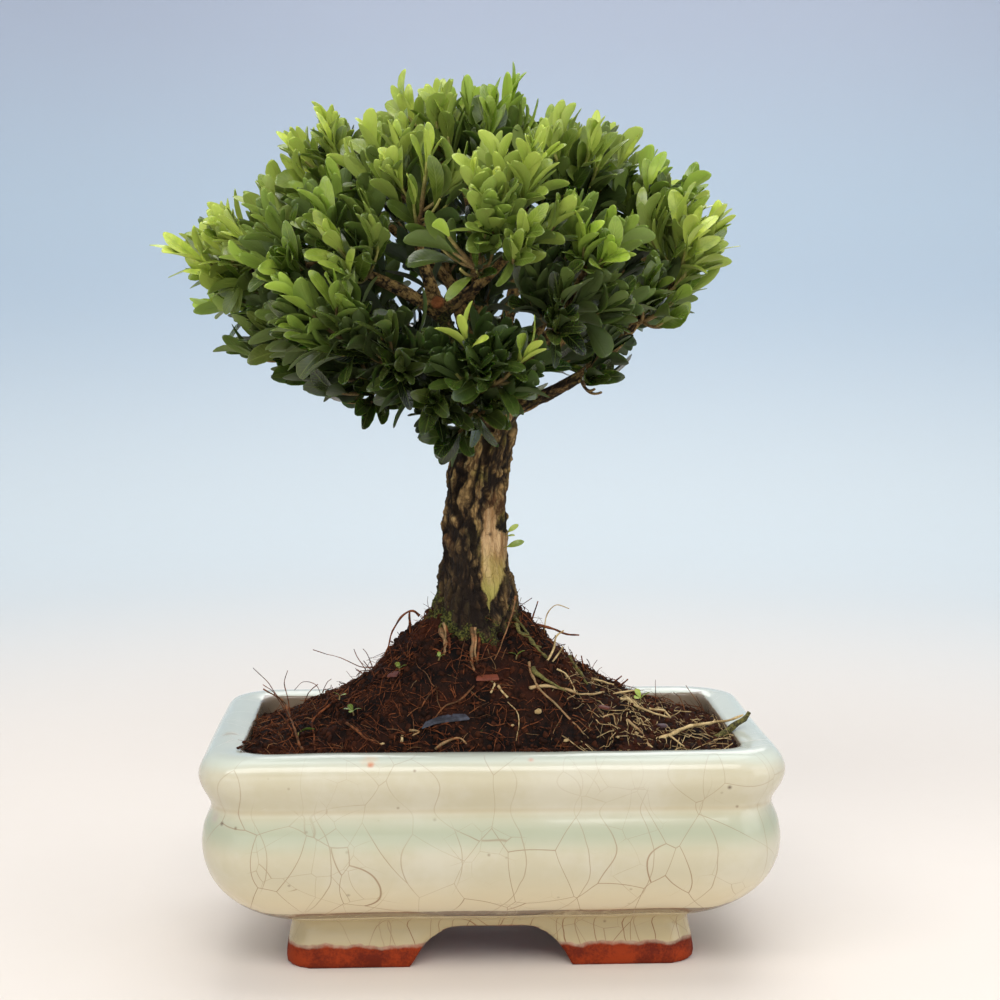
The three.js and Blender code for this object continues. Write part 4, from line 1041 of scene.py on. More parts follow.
def make_glaze():
    """Celadon crackle glaze that stops short of the ground, on red clay feet."""
    material, shader, place = start_material(
        "celadon_crackle_glaze", Coat_Roughness=0.06, Specular_IOR_Level=0.22,
    )
    height = height_of(place)
    normal = add_node("ShaderNodeNewGeometry").outputs["Normal"]
    upward = between(height_of(normal), 0.3, 0.92)

    glaze = mottled(place, 26, 420, 0.12, (196, 189, 168), (188, 179, 152))["Colour"]
    # Painted light: the lower belly is tinted lighter and warmer, so that it does not fall into shade under
    # the swell.
    low = tint(between(height, 0.038, 0.024), 0.8, glaze, (222, 207, 172))
    warm = tint(between(height, 0.0168, 0.0148), 0.75, low, (172, 153, 110))
    # Painted highlight: faces that look up are tinted pale grey-green, like the lit top of the rim.
    with_painted_highlight = tint(upward, 0.85, warm, (194, 200, 186))
    pooled = tint(band(height, 0.0485, 0.0075), 0.8, with_painted_highlight, (162, 167, 143))
    lined = tint(band(height, 0.0549, 0.0012), 0.22, pooled, (164, 140, 104))

    wander = scaled(noise_value(place, 22, 1, output=1), 0.016)
    bent = vector_maths("ADD", place, wander)
    tall = vector_maths("MULTIPLY", bent, (1, 1, 0.62))
    broad = crackle_lines(tall, 58, 0.0075)
    narrow = crackle_lines(bent, 98, 0.0085)
    upright = arcs(place, (0.9, 0.9, 0.12), 0.017, 55)
    broad_shown = times(broad, between(noise_value(place, 24, 2), 0.4, 0.58, 0.3, 1.0))
    narrow_shown = times(narrow, between(noise_value(place, 36, 2), 0.52, 0.62, 0.0, 0.7))
    cells_shown = larger(broad_shown, narrow_shown)
    arcs_shown = times(upright, 0.7)
    on_foot = times(arcs(place, (0.8, 0.8, 0.05), 0.0075, 90), between(height, 0.018, 0.014))
    cracks = larger(larger(cells_shown, arcs_shown), on_foot)
    shown = times(cracks, between(height, 0.07, 0.016, 0.42, 1.0))
    cracked = tint(shown, 0.92, lined, (126, 80, 38))

    pits = use_group(specks, {"Place": place, "Scale": 190.0, "Size": 0.14, "Share": 0.14})["Specks"]
    dots = use_group(specks, {"Place": place, "Scale": 80.0, "Size": 0.08, "Share": 0.26})["Specks"]
    rust = use_group(specks, {"Place": bent, "Scale": 32.0, "Size": 0.08, "Share": 0.14})["Specks"]
    pitted = tint(pits, 0.7, cracked, (104, 74, 46))
    dotted = tint(dots, 0.85, pitted, (84, 58, 42))
    rusted = tint(rust, 0.75, dotted, (176, 98, 54))
    for spot, reach, tone, strength in STAINS:
        away = vector_maths_value("DISTANCE", place, tuple(in_metres(spot)[0]))
        uneven = plus(away, scaled_noise(place, 420, reach * MM))
        rusted = tint(between(uneven, reach * MM, 0.0), strength, rusted, tone)

    # The inner wall above the floor is darkened to brown in patches.
    inner_wall_patches = times(attribute("inner_wall"), noise_value(place, 90, 5, 0.7))
    inner_wall_darkened = tint(between(inner_wall_patches, 0.2, 0.5), 0.8, rusted, (112, 90, 70))

    clay = mottled(place, 90, 1400, 0.5, (142, 48, 8), (96, 26, 3))
    ragged = plus(height, times(noise_value(place, 130, 4), 0.0038))
    bare = between(ragged, 0.0095, 0.0088)
    under = between(attribute("underside"), 0.3, 0.7)
    clay_share = larger(bare, under)
    crawl = times(band(ragged, 0.0088, 0.001), noise_value(place, 500, 3))
    fired = blend_colours(clay_share, inner_wall_darkened, clay["Colour"])
    rimmed = tint(crawl, 0.8, fired, (206, 188, 160))

    gloss = plus(0.13, times(noise_value(place, 60, 3), 0.1))
    marked = larger(larger(cracks, pits), dots)
    matt = larger(clay_share, times(marked, 0.5))
    roughness = add_node("ShaderNodeMix", {0: matt, 2: gloss, 3: 0.75}).outputs[0]
    coat = minus(0.32, clay_share, clamp=True)
    relief = minus(times(noise_value(place, 150, 2), 0.5), times(marked, 0.4))
    rough_clay = times(clay_share, minus(clay["Height"], 1.6))
    join_up(
        shader,
        Base_Color=rimmed, Roughness=roughness, Coat_Weight=coat,
        Normal=bump_normal(plus(relief, rough_clay), 0.35, 0.25),
    )
    return material


def make_peat():
    """Dark peat: black-brown crumbs, each a little different, with red-brown between them."""
    material, shader, place = start_material("dark_peat", Specular_IOR_Level=0.1)
    peat = mottled(place, 160, 1500, 0.6, (36, 20, 13), (10, 6, 5))
    own = blend_colours(attribute("shade"), peat["Colour"], colour(76, 40, 22))
    red = tint(between(noise_value(place, 75, 4), 0.5, 0.72), 0.4, own, (74, 34, 18))
    near_trunk = attribute("moss")
    grown = use_group(growth, {"Place": place, "Base Colour": red, "Share": near_trunk})
    finish(shader, grown["Colour"], peat["Height"], 1.0, 0.25, 0.6, 0.4)
    return material


def make_fibre():
    """Dry roots and fibres, from dark red-brown to pale straw by their own shade."""
    material, shader, place = start_material("dry_root_fibre", Specular_IOR_Level=0.12)
    brown = mottled(place, 400, 2200, 0.4, (122, 68, 38), (46, 21, 13))
    straw = mottled(place, 300, 2200, 0.4, (206, 180, 130), (150, 124, 82))
    share = between(attribute("shade"), 0.55, 0.95)
    base = blend_colours(share, brown["Colour"], straw["Colour"])
    finish(shader, base, brown["Height"], 0.95, 0.25, 0.4, 0.1)
    return material


def make_moss():
    """Cushion moss in olive patches with a finer grain, lighter and yellower by each root's own shade."""
    material, shader, place = start_material("cushion_moss", Specular_IOR_Level=0.3)
    moss = mottled(place, 700, 2400, 0.9, (104, 98, 48), (34, 28, 15))
    lit = tint(attribute("shade"), 0.3, moss["Colour"], (134, 128, 68))
    finish(shader, lit, moss["Height"], 0.95, 0.2, 0.7, 0.5)
    return material


def make_bark():
    """Corky bark: olive-beige ridges, red-brown cracks, a bare wood patch, and green near the soil; cracks
    and furrows are darkened partly by their own colour and partly by painted shade.
    """
    material, shader, place = start_material("corky_bark", Specular_IOR_Level=0.25)
    crack = attribute("crack")
    patch = attribute("bare_wood")
    grown = attribute("bark_place", "Vector")
    cork = mottled(vector_maths("MULTIPLY", grown, (1, 1, 0.4)), 210, 1100, 0.9, (160, 128, 80), (84, 60, 34))
    strand = vector_maths("MULTIPLY", grown, (1, 1, 0.26))
    split = vector_maths("ADD", strand, scaled(noise_value(grown, 260, 4, output=1), 0.003))
    splits = fading(cells(split, 560, "DISTANCE_TO_EDGE"), 0.2)
    flecks = between(noise_value(strand, 900, 4, 0.7), 0.54, 0.66)
    red = tint(between(noise_value(place, 62, 3), 0.5, 0.68), 0.55, cork["Colour"], (94, 50, 28))
    olive = tint(between(noise_value(place, 95, 4), 0.52, 0.64), 0.5, red, (112, 108, 46))
    flecked = tint(flecks, 0.5, olive, (182, 156, 106))
    split_dark = tint(splits, 0.62, flecked, (40, 26, 15))
    dim = tint(between(noise_value(place, 48, 3), 0.46, 0.64), 0.62, split_dark, (38, 27, 17))
    # The cracks and furrows are darkened almost to black: partly the bark's own dark fissures, partly painted
    # shade.
    dark_cracks_and_painted_shade = tint(between(crack, 0.24, 0.88), 0.95, dim, (18, 11, 7))
    height = height_of(place)
    spots = between(noise_value(place, 420, 4, 0.7), 0.42, 0.6)
    crusted = times(spots, between(height, 0.176, 0.2))
    lichen = tint(crusted, 0.7, dark_cracks_and_painted_shade, (176, 142, 84))
    damp = tint(attribute("damp"), 0.8, lichen, (26, 16, 9))
    algae = use_group(growth, {
        "Place": place, "Base Colour": damp, "Share": attribute("moss"), "Spot Scale": 300.0,
    })
    drawn_out = vector_maths("MULTIPLY", place, (1, 1, 0.12))
    streaks = mottled(drawn_out, 500, 1900, 0.35, (192, 158, 114), (140, 104, 64))
    ragged = plus(height, times(noise_value(place, 160, 3), 0.014))
    mossy_wood = tint(between(ragged, 0.136, 0.118), 0.75, streaks["Colour"], (136, 134, 52))
    holes = use_group(specks, {"Place": place, "Scale": 260.0, "Size": 0.3, "Share": 0.16})["Specks"]
    holed = tint(holes, 0.85, mossy_wood, (52, 30, 18))
    knot = tint(attribute("cut_wood"), 1.0, algae["Colour"], (136, 80, 42))
    join_up(
        shader,
        Base_Color=blend_colours(patch, knot, holed),
        Roughness=minus(0.98, times(patch, 0.25)),
        Normal=bump_normal(minus(cork["Height"], splits), 0.8, 0.5),
    )
    return material


def make_leaf(name, young, old):
    """A boxwood leaf whose colour runs from old to young with the leaf's own age."""
    material, shader, place = start_material(
        name, Specular_IOR_Level=0.5, Subsurface_Weight=0.08, Subsurface_Radius=(0.5, 1.0, 0.2),
        Subsurface_Scale=0.0012,
    )
    blade = use_group(leaf_blade, {
        "Place": place,
        "Blade": add_node("ShaderNodeUVMap", uv_map="blade").outputs[0],
        "Age": attribute("age"),
        "Tint": attribute("shade"),
        "Inside": attribute("inside"),
        "Young Colour": young,
        "Old Colour": old,
    })
    join_up(
        shader,
        Base_Color=blade["Colour"], Roughness=blade["Roughness"],
        Normal=bump_normal(blade["Height"], 0.35, 0.15),
    )
    return material


def make_twig():
    """Twigs, brown where they are woody and straw green at their tips."""
    material, shader, place = start_material("young_twig_bark", Specular_IOR_Level=0.3)
    woody = mottled(place, 260, 1600, 0.6, (140, 116, 72), (88, 66, 40))
    tips = mottled(place, 300, 1600, 0.3, (178, 172, 96), (132, 132, 60))
    share = between(attribute("age"), 0.45, 0.95)
    base = blend_colours(share, woody["Colour"], tips["Colour"])
    finish(shader, base, woody["Height"], 0.9, 0.2, 0.5, 0.15)
    return material


def make_chip():
    """Flat chips of stone and bark, from slate grey to red-brown by their own shade."""
    material, shader, place = start_material("stone_and_bark_chip", Specular_IOR_Level=0.4)
    slate = mottled(place, 300, 2000, 0.4, (72, 74, 84), (38, 38, 44))
    brown = blend_colours(slate["Height"], colour(148, 74, 46), colour(92, 42, 26))
    base = blend_colours(attribute("shade"), slate["Colour"], brown)
    finish(shader, base, slate["Height"], 0.85, 0.3, 0.5, 0.2)
    return material


def make_screen_plastic():
    """Moulded dark plastic, dusty with peat."""
    material, shader, place = start_material("dark_screen_plastic", Specular_IOR_Level=0.4)
    dust = mottled(place, 180, 1800, 0.5, (42, 46, 48), (60, 48, 40))
    finish(shader, dust["Colour"], dust["Height"], 0.85, 0.3, 0.3, 0.1)
    return material


GLAZE = make_glaze()
PEAT = make_peat()
FIBRE = make_fibre()
MOSS = make_moss()
BARK = make_bark()
TWIG = make_twig()
CHIP = make_chip()
SCREEN_PLASTIC = make_screen_plastic()
OLD_LEAF = make_leaf("old_boxwood_leaf", colour(132, 160, 54), colour(29, 50, 25))
GROWN_LEAF = make_leaf("grown_boxwood_leaf", colour(176, 206, 62), colour(43, 70, 29))
YOUNG_LEAF = make_leaf("young_boxwood_leaf", colour(196, 212, 84), colour(58, 90, 33))
# Pot

def rounded_ring(inset, height, radius):
    """Rounded rectangle of the pot's plan, counter-clockwise from above."""
    half_width = POT_WIDTH / 2 - inset
    half_depth = POT_DEPTH / 2 - inset
    ring = []
    for side_x, side_y, start in ((1, 1, 0), (-1, 1, 90), (-1, -1, 180), (1, -1, 270)):
        for step in range(CORNER_STEPS + 1):
            angle = math.radians(start + 90 * step / CORNER_STEPS)
            x = side_x * (half_width - radius) + radius * math.cos(angle)
            y = side_y * (half_depth - radius) + radius * math.sin(angle)
            ring.append((x, y, height))
    return ring


def belly_rows():
    low_inset = FOOT_INSET - 0.8
    lowest = math.radians(BELLY_LOWEST_TURN)
    rise = BELLY_SHOWN_HEIGHT - FOOT_SHOWN_HEIGHT
    rows = []
    for step in range(BELLY_STEPS + 1):
        angle = math.radians(mix(BELLY_LOWEST_TURN, 90, step / BELLY_STEPS))
        outward = (math.sin(angle) - math.sin(lowest)) / (1 - math.sin(lowest))
        inset = low_inset - (low_inset - BELLY_INSET) * outward
        height = BELLY_SHOWN_HEIGHT - rise * math.cos(angle) / math.cos(lowest)
        rows.append((inset, height, mix(FOOT_CORNER_RADIUS, CORNER_RADIUS + 4, step / BELLY_STEPS)))
    return rows


def arch_outline(width_at_floor, width_at_top):
    """Half of an arch's opening from the floor up one soft flank, then its mirror image."""
    low, high = width_at_floor / 2, width_at_top / 2
    ends = np.array([
        (low, -1), (low - ARCH_BENDS[0], ARCH_HEIGHT * 0.5), (high + ARCH_BENDS[1], ARCH_HEIGHT * 0.9),
        (high, ARCH_HEIGHT),
    ])
    flank = []
    for t in np.linspace(0, 1, 14):
        shares = np.array([(1 - t) ** 3, 3 * t * (1 - t) ** 2, 3 * t * t * (1 - t), t ** 3])
        flank.append(shares @ ends)
    return flank + [(-x, z) for x, z in reversed(flank)]


def cutter(name, points, faces):
    piece = piece_from(name, points, faces)
    piece.hide_render = True
    return piece


def cut_away(piece, tool):
    cut = piece.modifiers.new("cut", "BOOLEAN")
    cut.operation = "DIFFERENCE"
    cut.solver = "EXACT"
    cut.object = tool
    make_plain(piece)
    bpy.data.objects.remove(tool)


def make_pot():
    """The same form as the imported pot, with round edges and the waviness of a hand-pressed pot."""
    outside = [*FOOT_PROFILE, *belly_rows(), *smooth_rows([*SHOULDER_PROFILE, *RIM_PROFILE], PROFILE_STEPS)]
    pot = piece_from("glazed_pot", *loft([rounded_ring(*row) for row in outside]))
    inside = smooth_rows(INSIDE_PROFILE, PROFILE_STEPS)
    mouth = (INSIDE_PROFILE[-1][0], POT_HEIGHT + 5, INSIDE_PROFILE[-1][2])
    cut_away(pot, cutter("hollow", *loft([rounded_ring(*row) for row in [*inside, mouth]])))
    for widths, turned in ((ARCH_WIDTHS, False), (SIDE_ARCH_WIDTHS, True)):
        reach = POT_WIDTH if turned else POT_DEPTH
        outline = arch_outline(*widths)
        rings = [[(x, y, z) for x, z in outline] for y in (reach, -reach)]
        if turned:
            rings = [[(y, x, z) for x, y, z in ring] for ring in reversed(rings)]
        cut_away(pot, cutter("arch", *loft(rings)))
    for side in (-1, 1):
        middle = side * DRAIN_HOLE_OFFSET
        turns = [2 * math.pi * i / DRAIN_HOLE_SIDES for i in range(DRAIN_HOLE_SIDES)]
        circle = [
            (middle + DRAIN_HOLE_RADIUS * math.cos(turn), DRAIN_HOLE_RADIUS * math.sin(turn))
            for turn in turns
        ]
        rings = [[(x, y, z) for x, y in circle] for z in (4, FLOOR_TOP + 4)]
        cut_away(pot, cutter("drain", *loft(rings)))
    grow_one_skin(pot, POT_FACE_SIZE, POT_SOFTENING)
    points = points_of(pot)
    wave = HAND_WAVE * noise_at(points, HAND_WAVE_LENGTH, 1)
    wave += HAND_RIPPLE * noise_at(points, HAND_RIPPLE_LENGTH, 2)
    normals = normals_of(pot)
    above_ground = smooth_step(points[:, 2], 0.5, 5)
    move_points(pot, points + normals * (wave * above_ground)[:, None])
    outline = np.maximum(
        np.abs(points[:, 0]) - (SOIL_HALF_WIDTH - 0.5), np.abs(points[:, 1]) - (SOIL_HALF_DEPTH - 0.5),
    )
    note_on_points(pot, "inner_wall", (outline < 0.8) & (points[:, 2] > FLOOR_TOP - 2))
    note_on_points(pot, "underside", smooth_step(-normals[:, 2], 0.5, 0.9) * (points[:, 2] < FOOT_HEIGHT - 1))
    pot.data.materials.clear()
    pot.data.materials.append(GLAZE)
    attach(pot, "root")
    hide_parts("pot")
    return pot

# Wood

def ridges(angle, height):
    broad = 0.07 * np.cos(3 * angle + height * 0.05)
    middling = 0.06 * np.cos(5 * angle - height * 0.09 + 1)
    fine = 0.035 * np.cos(7 * angle + height * 0.2)
    return broad + middling + fine


TRUNK_ROWS = smooth_rows([(x, y, z, radius) for z, x, y, radius in TRUNK], TRUNK_STEPS)


def trunk_rings():
    """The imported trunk's rings, closer together, with root flares that swell towards the soil."""
    angles = np.arange(TRUNK_SIDES) * 2 * math.pi / TRUNK_SIDES
    rings = []
    for x, y, z, radius in TRUNK_ROWS:
        ribbed = smooth_step(z, TRUNK[0][0], TRUNK[1][0]) * ridges(angles, z)
        lobes = np.maximum(0, np.cos(5 * angles + 0.6)) ** 2
        flares = ROOT_FLARE * smooth_step(-z, -FLARE_TOP, -FLARE_BOTTOM) * lobes
        reach = radius * (1 + ribbed + flares)
        level = np.full(TRUNK_SIDES, z)
        rings.append(np.column_stack([x + reach * np.cos(angles), y + reach * np.sin(angles), level]))
    return rings


def limb_axes():
    """Every limb's middle line with its radius, the trunk first."""
    limbs = [(TRUNK_ROWS[:, :3], TRUNK_ROWS[:, 3])]
    for route, thick in BRANCHES:
        shares = np.linspace(0, 1, BRANCH_LEVELS)
        centres = np.array([curve_point(route, t) for t in shares])
        radii = BRANCH_SLIMMER * mix(*thick, shares) + COLLAR * np.exp(-shares / COLLAR_LENGTH)
        bumps = 1 + BRANCH_LUMPS * noise_at(centres, 9, 5)
        limbs.append((centres, radii * bumps))
    for place, direction, radius in CUT_KNOTS:
        ends = np.array([place, np.array(place) + unit(np.array(direction)) * CUT_KNOT_LENGTH], float)
        limbs.append((np.array([mix(ends[0], ends[1], t) for t in np.linspace(0, 1, 8)]), np.full(8, radius)))
    return limbs


def bark_places(points, limbs):
    """For each point its place on the nearest limb: across and over the limb, and along it."""
    best = np.full(len(points), 1e9)
    second = np.full(len(points), 1e9)
    place = np.zeros((len(points), 3))
    girth = np.zeros(len(points))
    for number, (centres, radii) in enumerate(limbs):
        along = np.gradient(centres, axis=0)
        along /= np.linalg.norm(along, axis=1)[:, None]
        steps = np.linalg.norm(np.diff(centres, axis=0), axis=1)
        travelled = np.concatenate([[0], np.cumsum(steps)])
        across = tube_rings(centres, np.ones(len(centres)), 4)[:, 0] - centres
        over = np.cross(along, across)
        away = np.linalg.norm(points[:, None] - centres[None], axis=2) - radii[None]
        nearest = away.argmin(axis=1)
        gap = away[np.arange(len(points)), nearest]
        closer = gap < best
        second = np.where(closer, best, np.minimum(second, gap))
        best = np.where(closer, gap, best)
        own = nearest[closer]
        offset = points[closer] - centres[own]
        finer = 1.0 if number == 0 else BRANCH_BARK_FINER
        place[closer] = finer * np.column_stack([
            (offset * across[own]).sum(axis=1) + number * 60,
            (offset * over[own]).sum(axis=1),
            (offset * along[own]).sum(axis=1) + travelled[own],
        ])
        girth[closer] = radii[own]
    settled = smooth_step(second - best, 0, 1.6)
    return place, girth, settled


def make_relief_tree():
    """Geometry nodes: corky ridges parted by cracks, and fine fibres on the bare wood."""
    sizes = ("Ridge Depth", "Ridge Scale", "Crack Width", "Grain Depth")
    tree, given, made = start_tree("bark_relief", [(label, "Float") for label in sizes])

    place = read_vector("bark_place")
    girth = read_number("girth")
    bare = read_number("bare_wood")
    stretched = vector_maths("MULTIPLY", place, (1, 1, 0.2))
    wander = scaled(noise_value(place, 85, 3, output=1), 0.0115)
    bent = vector_maths("ADD", stretched, wander)
    edge = cells(bent, given["Ridge Scale"], "DISTANCE_TO_EDGE")
    ridge = between(edge, 0.0, given["Crack Width"])
    small_edge = cells(bent, times(given["Ridge Scale"], 2.3), "DISTANCE_TO_EDGE")
    small_ridge = between(small_edge, 0.0, 0.25)
    relief = plus(times(ridge, 0.75), times(small_ridge, 0.25))
    grain = minus(noise_value(vector_maths("MULTIPLY", place, (1, 1, 0.45)), 620, 4), 0.5)
    corky = minus(relief, 0.8)
    corky = times(times(corky, given["Ridge Depth"]), girth)
    rough = times(times(grain, given["Grain Depth"]), maths("SQRT", girth))
    smooth_wood = times(minus(grain, 1.4), times(given["Grain Depth"], 0.9))
    lifted = plus(corky, rough)
    offset = add_node("ShaderNodeMix", {0: bare, 2: lifted, 3: smooth_wood}).outputs[0]
    normal = field("Normal")
    moved = shaped("SetPosition", {0: given["Geometry"], 3: scaled(normal, offset)})
    # The low places of the relief and the furrows are kept for the bark to darken: partly its own dark
    # fissures, partly painted shade.
    furrow = times(read_number("furrow"), 0.9)
    low = larger(minus(1.0, relief), furrow)
    crack = times(low, minus(1.0, bare))
    give(made, {0: store_number(moved, "crack", crack)})
    return tree


def furrows(points):
    """1 in the middle of the furrows between the twisted cords of the trunk, and 0 on the cords."""
    x = np.interp(points[:, 2], TRUNK_ROWS[:, 2], TRUNK_ROWS[:, 0])
    y = np.interp(points[:, 2], TRUNK_ROWS[:, 2], TRUNK_ROWS[:, 1])
    angle = np.arctan2(points[:, 1] - y, points[:, 0] - x)
    sway = 1.5 * noise_at(points * np.array([1, 1, 0.5]), 9, 14)
    wave = CORDS * angle + CORD_TWIST * CORDS * points[:, 2] + sway
    return np.exp(-(np.sin(wave) / FURROW_WIDTH) ** 2)


def make_wood():
    """Trunk and branches as one grown piece of wood under furrowed bark."""
    limbs = limb_axes()
    skins = [loft(trunk_rings())]
    skins += [loft(tube_rings(centres, radii, BRANCH_SIDES)) for centres, radii in limbs[1:]]
    wood = piece_from("grown_wood", *merged(skins))
    grow_one_skin(wood, WOOD_FACE_SIZE, WOOD_SOFTENING)

    points = points_of(wood)
    place, girth, settled = bark_places(points, limbs)
    note_vectors(wood, "bark_place", place * MM)
    note_on_points(wood, "girth", np.clip(girth / 10, 0.12, 1.15) * mix(0.25, 1, settled))
    ragged = noise_at(points * np.array([1, 1, 0.3]), 2, 8) + 0.6 * noise_at(points, 1.5, 9)
    heights, left_edge, right_edge = np.array(BARE_PATCH).T
    from_left = points[:, 0] - np.interp(points[:, 2], heights, left_edge)
    from_right = np.interp(points[:, 2], heights, right_edge) - points[:, 0]
    inside = smooth_step(np.minimum(from_left, from_right) + 0.9 * ragged, -0.1, 0.5)
    bare = inside * (points[:, 1] < BARE_PATCH_FRONT)
    note_on_points(wood, "bare_wood", bare)
    low_moss = smooth_step(-points[:, 2], -112, -98) * 0.5
    left_moss = smooth_step(-points[:, 0] - 0.35 * (points[:, 2] - 110), 11, 17) * 0.45
    limb_moss = smooth_step(-np.linalg.norm(points - np.array(MOSSY_LIMB), axis=1), -26, -8) * 0.75
    note_on_points(wood, "moss", np.clip(low_moss + left_moss + limb_moss + 0.2, 0, 0.95))
    low_down = smooth_step(-points[:, 2], -DAMP_TOP, -DAMP_BOTTOM)
    note_on_points(wood, "damp", low_down * mix(0.5, 1, smooth_step(-points[:, 0], 0, 8)))
    furrow = furrows(points) * (1 - bare)
    note_on_points(wood, "furrow", furrow * smooth_step(-points[:, 2], -172, -160))
    trunk_share = (1 - smooth_step(points[:, 2], 158, 172)) * smooth_step(points[:, 2], 88, 96)
    move_points(wood, points - normals_of(wood) * (FURROW_DEPTH * furrow * trunk_share)[:, None])
    cut = np.zeros(len(points))
    stub_route, stub_thick = BRANCHES[CUT_STUB]
    knots = [(np.array(spot) + unit(np.array(way)) * CUT_KNOT_LENGTH, size) for spot, way, size in CUT_KNOTS]
    for end, radius in [(stub_route[-1], stub_thick[1])] + knots:
        away = np.linalg.norm(points - np.array(end), axis=1)
        cut = np.maximum(cut, smooth_step(-away, -radius - 0.5, -radius + 0.3))
    note_on_points(wood, "cut_wood", cut)

    relief = wood.modifiers.new("bark relief", "NODES")
    relief.node_group = make_relief_tree()
    set_inputs(relief, Ridge_Depth=0.0016, Ridge_Scale=185.0, Crack_Width=0.3, Grain_Depth=0.0004)
    make_plain(wood)
    for name in ("girth", "furrow"):
        wood.data.attributes.remove(wood.data.attributes[name])
    wood.data.materials.clear()
    wood.data.materials.append(BARK)
    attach(wood, "root")
    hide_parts("trunk_and_branches")
    return limbs

# Leafy sprays

def twig_places():
    """Places on the branches where a twig may spring, each with the branch's direction there."""
    places = []
    for number, (route, thick) in enumerate(BRANCHES):
        if number == CUT_STUB:
            continue
        for step in range(FIRST_BRANCH_PLACE, BRANCH_PLACES + 1):
            t = step / BRANCH_PLACES
            before = curve_point(route, max(0, t - 0.0001))
            after = curve_point(route, min(1, t + 0.0001))
            places.append((curve_point(route, t), unit(after - before)))
    return places


def choose_root(tip, places, taken):
    """A twig springs from the place that is near its tip, leans its way, and is not yet crowded."""
    best = None
    best_cost = math.inf
    for place, direction in places:
        reach = tip - place
        length = np.linalg.norm(reach)
        lean = np.dot(reach, direction) / length
        nearest = min([np.linalg.norm(other - place) for other in taken] + [CROWDED_WITHIN])
        crowding = (CROWDED_WITHIN - nearest) * CROWDING_COST
        too_short = max(0, SHORTEST_TWIG - length) * SHORT_TWIG_COST
        cost = length * (REACH_COST - LEAN_GAIN * lean) + crowding + too_short
        if cost < best_cost:
            best_cost = cost
            best = place
    return best


def twig_point(route, t):
    start, bend, end = route
    return (1 - t) ** 2 * start + 2 * t * (1 - t) * bend + t * t * end


def frame_at(route, t, reference):
    """Frame on a shoot: its place, along it, across it and over it."""
    along = unit(twig_point(route, min(1, t + 0.0001)) - twig_point(route, max(0, t - 0.0001)))
    across = unit(reference - along * np.dot(reference, along))
    return twig_point(route, t), along, across, np.cross(along, across)


def reference_of(start, end):
    across = np.cross(unit(end - start), UP)
    return np.array([1.0, 0, 0]) if np.linalg.norm(across) < 0.2 else unit(across)


def leaning(place_frame, spread, turn):
    along, across, over = place_frame[1:]
    sideways = across * math.cos(turn) + over * math.sin(turn)
    return along * math.cos(spread) + sideways * math.sin(spread)


def grow_leaf(place_frame, pair, turn, draw):
    spread_draw = draw(-LEAF_SPREAD_DRAW, LEAF_SPREAD_DRAW)
    spread = math.radians(LEAF_SPREAD_AT_TIP + LEAF_SPREAD_PER_PAIR * pair + spread_draw)
    direction = leaning(place_frame, spread, turn + draw(-LEAF_TURN_DRAW, LEAF_TURN_DRAW))
    outward = unit((place_frame[0] - CROWN_CENTRE) / CROWN_REACH)
    lift = mix(UP, outward, LIFT_OUTWARD) * (TIP_LEAF_LIFT if pair < 2 else LEAF_LIFT)
    direction = unit(direction + lift)
    length = draw(*LEAF_LENGTH) * (TIP_LEAF_SHARE if pair == 0 else 1)
    width = length * draw(*LEAF_SLENDERNESS)
    face = place_frame[1] + UP * LEAF_FACES_UP
    face = unit(face - direction * np.dot(face, direction))
    bend = draw(*LEAF_BEND)
    return {"root": place_frame[0], "direction": direction, "face": face, "length": length, "width": width,
            "bend": bend, "pair": pair}


def grow_shoot(start, bend, end, radii, pairs, draw):
    """A shoot has opposite pairs of leaves from its tip backwards, each a quarter turn from the last."""
    route = (start, bend, end)
    reference = reference_of(start, end)
    length = np.linalg.norm(end - start)
    first_turn = draw(0, math.pi / 2)
    leaves = []
    for pair in range(pairs):
        t = 1 - (FIRST_PAIR + pair * INTERNODE) / length
        if t < LOWEST_NODE:
            break
        place_frame = frame_at(route, t, reference)
        for side in (0, 1):
            turn = first_turn + math.pi / 2 * (pair % 2) + math.pi * side
            leaves.append(grow_leaf(place_frame, pair, turn, draw))
    return {"route": route, "reference": reference, "radii": radii, "leaves": leaves}


def grow_spray(number, tip, root):
    tip = np.array(tip, float)
    reach = np.linalg.norm(tip - root)
    middle = mix(root, tip, 0.5) - UP * TWIG_SAG * reach
    main = grow_shoot(root, middle, tip, TWIG_RADIUS, PAIRS_ON_TWIG, make_draw(100 * number + 1))
    shoots = [main]
    for side in range(SIDE_SHOOTS):
        draw = make_draw(100 * number + 2 + side)
        back = SIDE_SHOOT_FROM_TIP + INTERNODE * (side // 2)
        share = max(LOWEST_SIDE_SHOOT, 1 - back / reach)
        place_frame = frame_at(main["route"], share, main["reference"])
        even_turn = math.pi * (side % 2) + math.pi / 2 * (side // 2)
        turn = even_turn + draw(-SIDE_SHOOT_TURN, SIDE_SHOOT_TURN)
        direction = leaning(place_frame, math.radians(SIDE_SHOOT_SPREAD), turn)
        length = draw(*SIDE_SHOOT_LENGTH)
        bend = place_frame[0] + direction * length / 2
        end = bend + unit(direction + UP * SIDE_SHOOT_RISE) * length / 2
        shoots.append(grow_shoot(place_frame[0], bend, end, SIDE_TWIG_RADIUS, PAIRS_ON_SIDE, draw))
    return shoots


